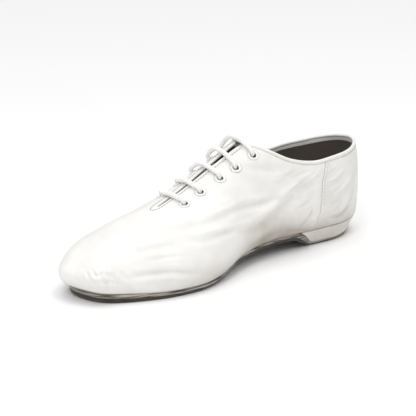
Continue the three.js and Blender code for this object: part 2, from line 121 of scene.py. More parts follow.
def slitY(x):
    return last["ballWidth"] * section("slit", x)


def rollZ(x):
    return soleTop(x) + last["rollHeight"] * section("roll", x)


def toplineZ(x):
    share = x / last["length"]
    return (soleTop(x) + last["collarHeight"] * through(topline["at"], topline["back"], share)
            + last["instepHeight"] * through(topline["at"], topline["front"], share))


def turnOf(x):
    return np.arccos(np.clip(1 - 2 * x / last["length"], -1, 1))


def widest(turn, side):  # the widest line of the last: side is 1 on the outer side, -1 on the inner
    name = "outer" if side > 0 else "inner"
    places = turnOf(np.array(outline["at"]) * last["length"])
    width = last["ballWidth"] * side * through(places, outline[name], turn)
    return np.stack([(1 - np.cos(turn)) / 2 * last["length"], width], -1)


def outward(turn, side):
    step = 1e-3
    ahead = widest(np.clip(turn + step, 0, np.pi), side)
    behind = widest(np.clip(turn - step, 0, np.pi), side)
    along = ahead - behind
    direction = side * np.stack([-along[..., 1], along[..., 0]], -1)
    direction = direction / (np.linalg.norm(direction, axis=-1, keepdims=True) + 1e-12)
    direction = np.where((turn < 1e-6)[..., None], [-1.0, 0.0], direction)
    return np.where((turn > np.pi - 1e-6)[..., None], [1.0, 0.0], direction)


def ridgeX(x):
    length = last["length"]
    back = last["heelFan"] * length
    front = last["toeFan"] * length
    x = np.where(x < back, x + last["heelHead"] * length * (1 - x / back)**2, x)
    return np.where(x > length - front, x - last["toeHead"] * length * (1 - (length - x) / front)**2, x)


def drawnIn(turn, side, distance):
    return widest(turn, side) - outward(turn, side) * np.asarray(distance)[..., None]


def lowerPoint(turn, side, level):  # level 0 is the upper's bottom edge, 1 the widest line
    roll = np.radians(70)
    angle = (1 - level) * roll
    depth = (1 - np.cos(angle)) / (1 - np.cos(roll))
    drop = np.sin(angle) / np.sin(roll)
    start = widest(turn, side)[..., 0]
    plan = drawnIn(turn, side, last["rollDepth"] * section("tuck", start) * depth)
    floorZ = soleTop(plan[..., 0]) + last["gap"]
    z = floorZ + (rollZ(plan[..., 0]) - floorZ) * (1 - drop)
    return np.concatenate([plan, z[..., None]], -1)


def domePoint(turn, side, angle):  # angle 0 is the widest line, a quarter turn the ridge
    edge = widest(turn, side)
    top = ridgeX(edge[..., 0])
    across = np.cos(angle)**(2 / section("crown", edge[..., 0]))
    up = np.sin(angle)**(2 / section("side", edge[..., 0]))
    head = np.stack([top, ridgeY(top)], -1)
    plan = edge * across[..., None] + head * (1 - across[..., None])
    low = rollZ(plan[..., 0])
    z = low + (ridgeZ(plan[..., 0]) - low) * up
    return np.concatenate([plan, z[..., None]], -1)


def instepPoint(x, across):  # on the instep, level across from the slit
    over = slitY(x) + across - ridgeY(x)
    turn = turnOf(x)
    outside = widest(turn, 1)[..., 1] - ridgeY(x)
    half = np.where(over >= 0, outside, ridgeY(x) - widest(turn, -1)[..., 1])
    angle = np.arccos(np.clip(np.abs(over) / half, 0, 1)**(section("crown", x) / 2))
    outer = domePoint(turn, 1, angle)
    inner = domePoint(turn, -1, angle)
    return np.where((over >= 0)[..., None], outer, inner)


def crossing(low, high, past, halvings=40):  # where past turns true between two places
    for _ in range(halvings):
        middle = (low + high) / 2
        if past(np.array(middle)):
            high = middle
        else:
            low = middle
    return low


def collarFront():  # where the topline meets the ridge
    return crossing(0.3 * last["length"], 0.6 * last["length"], lambda x: toplineZ(x) > ridgeZ(x))


def slitHalf(x):  # half width of the slit, closing in a round end
    share = np.clip((lacing["slitFront"] - x) / (lacing["slitFront"] - mouthFront), 0, 1)
    half = (lacing["slitNarrow"] + (lacing["slitWide"] - lacing["slitNarrow"]) * share) / 2
    past = np.clip((x - lacing["slitFront"]) / (lacing["slitNarrow"] / 2), 0, 1)
    return half * np.sqrt(1 - past**2)


def surfacePoint(turn, side, angle):  # like domePoint, and on over the ridge past a quarter turn
    near = domePoint(turn, side, np.minimum(angle, np.pi / 2))
    over = domePoint(turn, -side, np.pi - np.maximum(angle, np.pi / 2))
    return np.where((angle > np.pi / 2)[..., None], over, near)


# Between two places along the last the leather ends at the slit, and ahead of them on the
# middle line, which it eases to. The slit and the topline meet in a rounded corner.
slitEdge = {"from": 100, "to": 216, "easeFrom": 200, "easeOver": 15, "corner": 0.035, "noRim": 3.0,
            "halvings": 36}


def rayEnd(turn, side):  # the angle at which the leather ends: topline, slit or middle line
    start = widest(turn, side)[..., 0]
    low = np.zeros_like(turn)
    high = np.full_like(turn, np.pi / 2)
    for _ in range(slitEdge["halvings"]):
        middle = (low + high) / 2
        point = domePoint(turn, side, middle)
        over = point[..., 2] > toplineZ(point[..., 0]) - lacing["rolledEdge"]
        high = np.where(over, middle, high)
        low = np.where(over, low, middle)
    rim = np.where(ridgeX(start) > mouthFront, slitEdge["noRim"], low)
    fade = np.clip((start - slitEdge["easeFrom"]) / slitEdge["easeOver"], 0, 1)
    rolled = lacing["rolledEdge"] * np.clip(slitHalf(start) / lacing["rolledEdge"], 0, 1)
    offset = (slitY(start) - ridgeY(start)) * side * (1 - fade) + slitHalf(start) + rolled
    own = np.abs(widest(turn, side)[..., 1] - ridgeY(start))
    other = np.abs(widest(turn, -side)[..., 1] - ridgeY(start))
    power = section("crown", start) / 2
    near = np.arccos(np.clip(np.maximum(offset, 0) / own, 0, 1)**power)
    past = np.pi - np.arccos(np.clip(np.maximum(-offset, 0) / other, 0, 1)**power)
    slit = np.where(offset >= 0, near, past)
    slit = np.where((start < slitEdge["from"]) | (start > slitEdge["to"]), np.pi / 2, slit)
    corner = slitEdge["corner"]
    share = np.clip(0.5 + 0.5 * (slit - rim) / corner, 0, 1)
    return slit * (1 - share) + rim * share - corner * share * (1 - share)


def travelled(path):  # the way gone along a path at each of its points
    return np.concatenate([[0], np.cumsum(np.linalg.norm(np.diff(path, axis=0), axis=1))])


def spacedTurns(end, count, dense, closer):  # turns up to an end, closer together at some places
    turn = np.linspace(0, np.pi, dense)
    place = widest(turn, 1)
    step = np.linalg.norm(np.diff(place, axis=0), axis=1)
    x = (place[1:, 0] + place[:-1, 0]) / 2
    weight = 1 + sum(extra * np.exp(-((x - at) / width)**2) for at, width, extra in closer)
    total = np.concatenate([[0], np.cumsum(step * weight)])
    return np.interp(np.linspace(0, np.interp(end, turn, total), count), total, turn)


def columnTurns(count):  # closer at the corner of the mouth, the slit's end, the seam and the toe
    closer = [(mouthFront, 4, 1.6), (lacing["slitFront"], 3, 1.2), (62, 8, 0.8), (266, 10, 1.2)]
    return spacedTurns(np.pi, count, 6001, closer)


def sideGrid(turns, side, rows):  # points of one side, even steps up each column
    end = rayEnd(turns, side)
    lowShare = 0.25
    dense = 160

    def at(share):  # the first part of each column lies below the widest line
        level = np.minimum(share / lowShare, 1)
        lift = np.clip((share - lowShare) / (1 - lowShare), 0, 1) * end[:, None]
        turned = turns[:, None] + 0 * share
        low = lowerPoint(turned, side, level)
        high = surfacePoint(turned, side, lift)
        return np.where((lift > 0)[..., None], high, low)

    share = np.linspace(0, 1, dense)
    ways = [travelled(column) for column in at(share + 0 * turns[:, None])]
    wanted = np.linspace(0, 1, rows)
    return at(np.stack([np.interp(wanted * way[-1], way, share) for way in ways]))


mouthFront = collarFront()
lacing["slitFront"] = mouthFront + lacing["slitLength"]
print("last worked out, topline front at", round(mouthFront, 1))


# Camera, fitted to the photograph: angles in degrees, distances in millimetres
cameraView = {
    "azimuth": 51.488, "elevation": 16.844, "roll": -0.97, "distance": 858.41,
    "aim": (104, 0, 42.2), "slide": (12.434, -0.004), "focalPixels": 1099.886, "imageWidth": 416,
    "sensorWidth": 36,
}


def makeCamera():
    azimuth = math.radians(cameraView["azimuth"])
    elevation = math.radians(cameraView["elevation"])
    roll = math.radians(cameraView["roll"])
    back = Vector((math.cos(azimuth) * math.cos(elevation), math.sin(azimuth) * math.cos(elevation),
                   math.sin(elevation)))
    right = Vector((0, 0, 1)).cross(back).normalized()
    up = back.cross(right)
    turnedRight = math.cos(roll) * right + math.sin(roll) * up
    turnedUp = math.cos(roll) * up - math.sin(roll) * right
    place = (Vector(cameraView["aim"]) + cameraView["distance"] * back
             - cameraView["slide"][0] * turnedRight - cameraView["slide"][1] * turnedUp)
    lens = bpy.data.cameras.new("photoCamera")
    lens.sensor_width = cameraView["sensorWidth"]
    lens.lens = cameraView["sensorWidth"] * cameraView["focalPixels"] / cameraView["imageWidth"]
    lens.clip_start = 0.05
    lens.clip_end = 20
    camera = bpy.data.objects.new("photoCamera", lens)
    turned = Matrix((turnedRight, turnedUp, back)).transposed().to_4x4()
    camera.matrix_world = Matrix.Translation(place * 0.001) @ turned
    bpy.context.scene.collection.objects.link(camera)
    bpy.context.scene.camera = camera


makeCamera()


# Studio: a white dome, bright overhead and dim at the horizon, a soft key from the toe side and
# a weaker light from above, over a white paper sweep
studio = {
    "floorSize": 8.0, "horizon": 0.06, "overhead": 1.38,
    "lights": [
        {"name": "key", "at": (0.80, 0.45, 0.85), "aim": (0.12, 0, 0.03), "size": 0.35, "power": 2.5},
        {"name": "top", "at": (0.05, 0.30, 1.20), "aim": (0.10, 0, 0.03), "size": 0.4, "power": 1.4},
    ],
}


def linear(code):  # sRGB hex to linear colour
    parts = [int(code[i:i + 2], 16) / 255 for i in (0, 2, 4)]
    return tuple(c / 12.92 if c <= 0.04045 else ((c + 0.055) / 1.055)**2.4 for c in parts) + (1,)


def makeStudio(floorMaterial):
    world = bpy.data.worlds.new("studioAir")
    world.use_nodes = True
    tree = world.node_tree
    place = addNode(tree, "ShaderNodeTexCoord").outputs["Generated"]
    height = addNode(tree, "ShaderNodeSeparateXYZ", {}, {"Vector": place}).outputs["Z"]
    strength = rangeNode(tree, height, 0.0, 1.0, studio["horizon"], studio["overhead"])
    background = tree.nodes["Background"]
    background.inputs["Color"].default_value = (1, 1, 1, 1)
    tree.links.new(strength, background.inputs["Strength"])
    bpy.context.scene.world = world
    bpy.context.scene.view_settings.view_transform = "Standard"
    for light in studio["lights"]:
        data = bpy.data.lights.new(light["name"], "AREA")
        data.energy = light["power"]
        data.size = light["size"]
        lamp = bpy.data.objects.new(light["name"], data)
        lamp.location = light["at"]
        aim = Vector(light["aim"]) - Vector(light["at"])
        lamp.rotation_euler = aim.to_track_quat("-Z", "Y").to_euler()
        bpy.context.scene.collection.objects.link(lamp)
    half = studio["floorSize"] / 2
    mesh = bpy.data.meshes.new("floor")
    mesh.from_pydata([(-half, -half, 0), (half, -half, 0), (half, half, 0), (-half, half, 0)], [],
                     [(0, 1, 2, 3)])
    floor = bpy.data.objects.new("floor", mesh)
    mesh.materials.append(floorMaterial)
    bpy.context.scene.collection.objects.link(floor)


# Materials
def addNode(tree, kind, settings=None, links=None):
    node = tree.nodes.new(kind)
    for name, value in (settings or {}).items():
        if name in node.inputs:
            node.inputs[name].default_value = value
        else:
            setattr(node, name, value)
    for name, source in (links or {}).items():
        tree.links.new(source, node.inputs[name])
    return node


def newMaterial(name, values):  # values: the shader's own inputs
    material = bpy.data.materials.new(name)
    material.use_nodes = True
    tree = material.node_tree
    shader = tree.nodes["Principled BSDF"]
    for key, value in values.items():
        shader.inputs[key].default_value = value
    return material, tree, shader


def placeNode(tree):
    return addNode(tree, "ShaderNodeTexCoord").outputs["Object"]


def noiseNode(tree, place, scale, detail, settings=None):
    settings = dict({"Scale": scale, "Detail": detail}, **(settings or {}))
    return addNode(tree, "ShaderNodeTexNoise", settings, {"Vector": place}).outputs["Fac"]


def rangeNode(tree, value, low, high, bottom=0.0, top=1.0, shape="LINEAR"):
    settings = {"interpolation_type": shape, "From Min": low, "From Max": high, "To Min": bottom,
                "To Max": top}
    return addNode(tree, "ShaderNodeMapRange", settings, {"Value": value}).outputs["Result"]


def bumpNode(tree, height, strength, depth, under=None):  # depth in millimetres
    links = {"Height": height} if under is None else {"Height": height, "Normal": under}
    settings = {"Strength": strength, "Distance": depth / 1000}
    return addNode(tree, "ShaderNodeBump", settings, links).outputs["Normal"]


def connect(tree, shader, colour, normal):
    tree.links.new(colour, shader.inputs["Base Color"])
    tree.links.new(normal, shader.inputs["Normal"])


# Full-grain sheepskin, dyed through and sealed with a white finish: close to white, with a
# fine pebble grain and a satin top coat that breaks up where the skin has creased.
whiteLeather = {
    "light": "f5f4f1", "worn": "ebe9e5", "grey": "a89e92", "blotchWidth": 26, "blotchFine": 0.6,
    "blotchRange": (0.35, 0.7), "roughness": 0.46, "spread": 0.12, "roughRange": (0.3, 0.7),
    "refraction": 1.46, "coat": 0.15, "coatRoughness": 0.38, "grainWidth": 0.8, "grainHeight": 0.035,
    "wrinkleWidth": 3.2, "wrinkleHeight": 0.13, "wrinkleTwist": 0.8, "bump": 0.5,
    "streakLength": 22, "streakWidth": 2.6, "streakTilt": 31, "streakTwist": 0.4,
    "streakHeight": 0.8, "streakBump": 0.6, "streaksFrom": 104, "streaksFull": 34,
}
# Lines sewn into the leather, in millimetres: the edge of the counter where it laps over the
# quarter, and the row of thread round the lacing slit. The painted shadow along the lap's edge,
# the painted shade in the sunk row and the even part of the upper's painted shade are shares of the
# grey.
sewnLines = {"lapHeight": 0.55, "lapWidth": 0.9, "lapShadow": 0.42, "lapShade": 0.75, "rowDepth": 0.25,
             "rowWidth": 0.9, "rowShade": 0.35, "mask": 8, "farthest": 9, "evenPaintedShade": 0.35}


def mathNode(tree, operation, first, second=None, third=None):
    node = addNode(tree, "ShaderNodeMath", {"operation": operation})
    for place, value in enumerate((first, second, third)):
        if value is None:
            continue
        if isinstance(value, (int, float)):
            node.inputs[place].default_value = value
        else:
            tree.links.new(value, node.inputs[place])
    return node.outputs["Value"]


def bellNode(tree, distance, width, mask):  # 1 on a line, falling off over the width
    squared = mathNode(tree, "POWER", mathNode(tree, "DIVIDE", distance, width), 2.0)
    bell = mathNode(tree, "POWER", math.e, mathNode(tree, "MULTIPLY", squared, -1.0))
    return mathNode(tree, "MULTIPLY", bell, mask)


def mixNode(tree, factor, first, second):
    node = addNode(tree, "ShaderNodeMix", {"data_type": "RGBA"})
    for place, value in ((0, factor), (6, first), (7, second)):
        if isinstance(value, (float, tuple)):
            node.inputs[place].default_value = value
        else:
            tree.links.new(value, node.inputs[place])
    return node.outputs[2]


def leatherMaterial(name, changes, sewn=False):
    leather = dict(whiteLeather, **changes)
    material, tree, shader = newMaterial(name, {
        "IOR": leather["refraction"], "Coat Weight": leather["coat"],
        "Coat Roughness": leather["coatRoughness"]})
    place = placeNode(tree)
    blotch = noiseNode(tree, place, 1000 / leather["blotchWidth"], 4.0,
                       {"Roughness": leather["blotchFine"]})
    patch = rangeNode(tree, blotch, *leather["blotchRange"])
    colour = mixNode(tree, patch, linear(leather["light"]), linear(leather["worn"]))
    half = leather["spread"] / 2
    rough = rangeNode(tree, blotch, *leather["roughRange"], leather["roughness"] - half,
                      leather["roughness"] + half)
    tree.links.new(rough, shader.inputs["Roughness"])
    grain = addNode(tree, "ShaderNodeTexVoronoi", {"Scale": 1000 / leather["grainWidth"],
                                                   "feature": "SMOOTH_F1"}, {"Vector": place})
    wrinkle = noiseNode(tree, place, 1000 / leather["wrinkleWidth"], 4.0,
                        {"Distortion": leather["wrinkleTwist"]})
    # Fine creases drawn out along the folds, up and back, behind the waist
    tilt = (0, math.radians(leather["streakTilt"]), 0)
    size = [leather[side] / 1000 for side in ("streakLength", "streakWidth", "streakWidth")]
    drawn = addNode(tree, "ShaderNodeMapping", {"vector_type": "TEXTURE", "Rotation": tilt,
                                                "Scale": size}, {"Vector": place}).outputs["Vector"]
    streak = noiseNode(tree, drawn, 1.0, 2.0, {"Distortion": leather["streakTwist"]})
    alongFoot = addNode(tree, "ShaderNodeSeparateXYZ", {}, {"Vector": place}).outputs["X"]
    behind = rangeNode(tree, alongFoot, leather["streaksFrom"] / 1000, leather["streaksFull"] / 1000)
    streak = mathNode(tree, "MULTIPLY", streak, behind)
    normal = bumpNode(tree, streak, leather["streakBump"], leather["streakHeight"])
    normal = bumpNode(tree, wrinkle, leather["bump"], leather["wrinkleHeight"], normal)
    normal = bumpNode(tree, grain.outputs["Distance"], leather["bump"], leather["grainHeight"], normal)
    if sewn:
        lines = addNode(tree, "ShaderNodeAttribute", {"attribute_name": "sewnLines"})
        parts = addNode(tree, "ShaderNodeSeparateColor", {}, {"Color": lines.outputs["Color"]})
        lap, lapMask, row = (parts.outputs[side] for side in ("Red", "Green", "Blue"))
        lapLine = bellNode(tree, lap, sewnLines["lapShadow"], lapMask)
        rowLine = bellNode(tree, row, sewnLines["rowWidth"], lines.outputs["Alpha"])
        half = sewnLines["lapWidth"] / 2
        step = rangeNode(tree, lap, -half, half, 0.0, sewnLines["lapHeight"], "SMOOTHSTEP")
        sunk = mathNode(tree, "MULTIPLY", rowLine, -sewnLines["rowDepth"])
        height = mathNode(tree, "ADD", mathNode(tree, "MULTIPLY", step, lapMask), sunk)
        normal = bumpNode(tree, height, 1.0, 1.0, normal)
        # Painted shade from the upper's attribute, made patchy by the blotch noise, darkens the colour
        # towards the grey.
        paintedShadeAmount = addNode(tree, "ShaderNodeAttribute", {"attribute_name": "paintedShade"}).outputs["Fac"]
        shade = mathNode(tree, "MULTIPLY", paintedShadeAmount, mathNode(tree, "ADD", blotch, sewnLines["evenPaintedShade"]))
        # The painted shadow along the lap's edge and the painted shade in the sunk row of thread.
        for line, most in ((lapLine, sewnLines["lapShade"]), (rowLine, sewnLines["rowShade"])):
            shade = mathNode(tree, "MAXIMUM", shade, mathNode(tree, "MULTIPLY", line, most))
        colour = mixNode(tree, shade, colour, linear(leather["grey"]))
    connect(tree, shader, colour, normal)
    return material


# Flat woven cotton, with two crossed sets of threads in the bump. Its dark brown grey is painted
# shade for the inside of the shoe. waveScale is the wave texture's scale times the width of a thread
# in millimetres.
lining = {"code": "5a5249", "roughness": 0.9, "sheen": 0.15, "threadWidth": 0.7, "threadHeight": 0.12,
          "bump": 0.6, "twist": 0.6, "waveScale": 249.88}


def clothMaterial(name):
    material, tree, shader = newMaterial(name, {
        "Base Color": linear(lining["code"]), "Roughness": lining["roughness"],
        "Sheen Weight": lining["sheen"]})
    place = placeNode(tree)
    threads = []
    for direction in ("X", "Z"):
        settings = {"Scale": lining["waveScale"] / lining["threadWidth"], "Distortion": lining["twist"],
                    "bands_direction": direction}
        threads.append(addNode(tree, "ShaderNodeTexWave", settings, {"Vector": place}).outputs["Fac"])
    normal = bumpNode(tree, mathNode(tree, "ADD", *threads), lining["bump"], lining["threadHeight"])
    tree.links.new(normal, shader.inputs["Normal"])
    return material


# Cotton braid: two sets of strands crossing round the cord, from the tube's own map; the low
# places between the strands are painted darker towards the shade colour, as painted shade
braid = {"code": "f8f7f5", "roughness": 0.85, "sheen": 0.25, "shade": "c9c6bf", "shadeMost": 0.22,
         "shadeRange": (-0.6, 0.5), "strandTurns": 4, "strandLength": 4.0, "height": 0.10, "bump": 0.7}


def braidMaterial(name):
    material, tree, shader = newMaterial(name, {
        "Roughness": braid["roughness"], "Sheen Weight": braid["sheen"]})
    along = addNode(tree, "ShaderNodeUVMap", {"uv_map": "along"}).outputs["UV"]
    parts = addNode(tree, "ShaderNodeSeparateXYZ", {}, {"Vector": along}).outputs
    length = mathNode(tree, "MULTIPLY", parts["X"], 4 * math.pi / braid["strandLength"])
    turn = mathNode(tree, "MULTIPLY", parts["Y"], 2 * math.pi * braid["strandTurns"])
    waves = [mathNode(tree, way, length, turn) for way in ("ADD", "SUBTRACT")]
    height = mathNode(tree, "MAXIMUM", *[mathNode(tree, "SINE", wave) for wave in waves])
    dark = rangeNode(tree, height, *braid["shadeRange"], braid["shadeMost"], 0.0)
    colour = mixNode(tree, dark, linear(braid["code"]), linear(braid["shade"]))
    connect(tree, shader, colour, bumpNode(tree, height, braid["bump"], braid["height"]))
    return material


# Cut edge of sole leather: thin layers along the edge, a little darker between them
soleEdge = {"light": "b9b5ac", "dark": "474139", "roughness": 0.62, "layer": 0.8, "alongPerMetre": 60,
            "height": 0.12, "bump": 0.6, "darkRange": (0.39, 0.64)}


def edgeMaterial(name):
    material, tree, shader = newMaterial(name, {"Roughness": soleEdge["roughness"]})
    size = (soleEdge["alongPerMetre"], soleEdge["alongPerMetre"], 1000 / soleEdge["layer"])
    flat = addNode(tree, "ShaderNodeMapping", {"Scale": size}, {"Vector": placeNode(tree)})
    layers = noiseNode(tree, flat.outputs["Vector"], 1.0, 3.0)
    share = rangeNode(tree, layers, *soleEdge["darkRange"])
    colour = mixNode(tree, share, linear(soleEdge["light"]), linear(soleEdge["dark"]))
    connect(tree, shader, colour, bumpNode(tree, layers, soleEdge["bump"], soleEdge["height"]))
    return material


# Split suede: short nap brushed unevenly, dark brown grey, worn paler in patches
suede = {"light": "49433b", "dark": "2c2823", "roughness": 0.95, "sheen": 0.35, "nap": 0.5,
         "napShare": 0.4, "patch": 14, "height": 0.25, "bump": 0.7, "lightRange": (0.35, 0.65)}


def suedeMaterial(name):
    material, tree, shader = newMaterial(name, {
        "Roughness": suede["roughness"], "Sheen Weight": suede["sheen"]})
    place = placeNode(tree)
    nap = noiseNode(tree, place, 1000 / suede["nap"], 3.0)
    patch = noiseNode(tree, place, 1000 / suede["patch"], 4.0)
    paler = mathNode(tree, "MULTIPLY", patch, 1 - suede["napShare"])
    both = mathNode(tree, "MULTIPLY_ADD", nap, suede["napShare"], paler)
    share = rangeNode(tree, both, *suede["lightRange"])
    colour = mixNode(tree, share, linear(suede["dark"]), linear(suede["light"]))
    connect(tree, shader, colour, bumpNode(tree, nap, suede["bump"], suede["height"]))
    return material


def plainMaterial(name, code, roughness, coat=0.0):
    values = {"Base Color": linear(code), "Roughness": roughness, "Coat Weight": coat}
    return newMaterial(name, values)[0]


floorMaterial = plainMaterial("paperSweep", "fcfcfc", 0.95)
leatherUpper = leatherMaterial("whiteSheepskin", {}, sewn=True)
leatherPiping = leatherMaterial("pipingSheepskin", {"wrinkleWidth": 2.0})
# The heel cover's greyer copy of the white leather is painted shade: the heel stands in shadow.
leatherHeelShaded = leatherMaterial("heelSheepskinShaded", {"light": "e3dfd9", "worn": "d1ccc4"})
# The lining's and the insole's dark colours are painted shade for the inside of the shoe; the insole's
# tan is partly its own colour.
liningClothDarkenedForShade = clothMaterial("cottonLiningDarkenedForShade")
insoleLeatherDarkenedForShade = leatherMaterial("insoleLeatherDarkenedForShade", {
    "light": "7d7263", "worn": "6b6152", "roughness": 0.7})
midsoleLeather = edgeMaterial("soleLeatherEdge")
soleSuede = suedeMaterial("soleSuede")
eyeletEnamel = plainMaterial("eyeletEnamel", "f4f4f2", 0.28, coat=0.4)
laceCotton = braidMaterial("laceCotton")
threadCotton = plainMaterial("threadCotton", "aeaaa3", 0.8)
threadSeam = plainMaterial("threadSeam", "cfccc6", 0.8)
makeStudio(floorMaterial)


# Mesh making
def toFrame(points):
    return (np.asarray(points, float) - [last["heelCentre"], 0, 0]) * 0.001


def makePiece(name, points, faces, materials, faceMaterials=None):
    mesh = bpy.data.meshes.new(name)
    mesh.from_pydata(toFrame(points).tolist(), [], faces)
    for material in materials:
        mesh.materials.append(material)
    if faceMaterials is not None:
        mesh.polygons.foreach_set("material_index", np.asarray(faceMaterials, dtype=np.int32))
    mesh.polygons.foreach_set("use_smooth", np.full(len(mesh.polygons), True))
    mesh.validate()
    mesh.update()
    piece = bpy.data.objects.new(name, mesh)
    bpy.context.scene.collection.objects.link(piece)
    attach(piece, "root")
    return piece


def ringFaces(count, around, base=0, closed=False):  # quads between rings of points, one after another
    faces = []
    for i in range(count if closed else count - 1):
        here, there = base + i * around, base + (i + 1) % count * around
        for k in range(around):
            m = (k + 1) % around
            faces.append((here + k, here + m, there + m, there + k))
    return faces


def ringCaps(count, around, base=0):  # flat ends on the first ring and the last
    final = base + (count - 1) * around
    return [tuple(range(base, base + around))[::-1], tuple(range(final, final + around))]


def unit(vectors):
    return vectors / (np.linalg.norm(vectors, axis=-1, keepdims=True) + 1e-12)


def roundAlong(line):  # the direction along a closed line at each of its points
    return np.roll(line, -1, axis=0) - np.roll(line, 1, axis=0)


# Upper: one grid round the shoe. Rows climb the outside from the sole to the rim, turn over
# the folded edge and go down the lining.
upper = {"columns": 330, "rows": 97, "edgeRows": 5, "liningStep": 4, "joinReach": 0.05}


def upperLoop():
    turns = columnTurns(upper["columns"])
    outer, inner = (sideGrid(turns, side, upper["rows"]) for side in (1, -1))
    x = widest(turns, 1)[:, 0]
    tip = lacing["slitFront"] + lacing["slitNarrow"] / 2
    joined = x > tip - upper["joinReach"]
    middle = (outer[joined, -1] + inner[joined, -1]) / 2
    outer[joined, -1] = middle
    inner[joined, -1] = middle
    order = np.arange(upper["columns"] - 2, 0, -1)
    grid = np.concatenate([outer, inner[order]])
    return {
        "grid": grid, "x": np.concatenate([x, x[order]]),
        "side": np.concatenate([np.ones(len(x)), -np.ones(len(order))]),
        "joined": np.concatenate([joined, joined[order]]),
    }


def loopNormals(grid, joined):
    normals = unit(np.cross(np.gradient(grid, axis=1), roundAlong(grid)))
    count = len(grid)
    half = count // 2
    for i in range(1, half):
        if joined[i]:
            mean = unit(normals[i, -1] + normals[count - i, -1])
            normals[i, -1] = mean
            normals[count - i, -1] = mean
    if joined[half]:
        normals[half, -1] = unit(normals[half - 1, -1])
    return normals
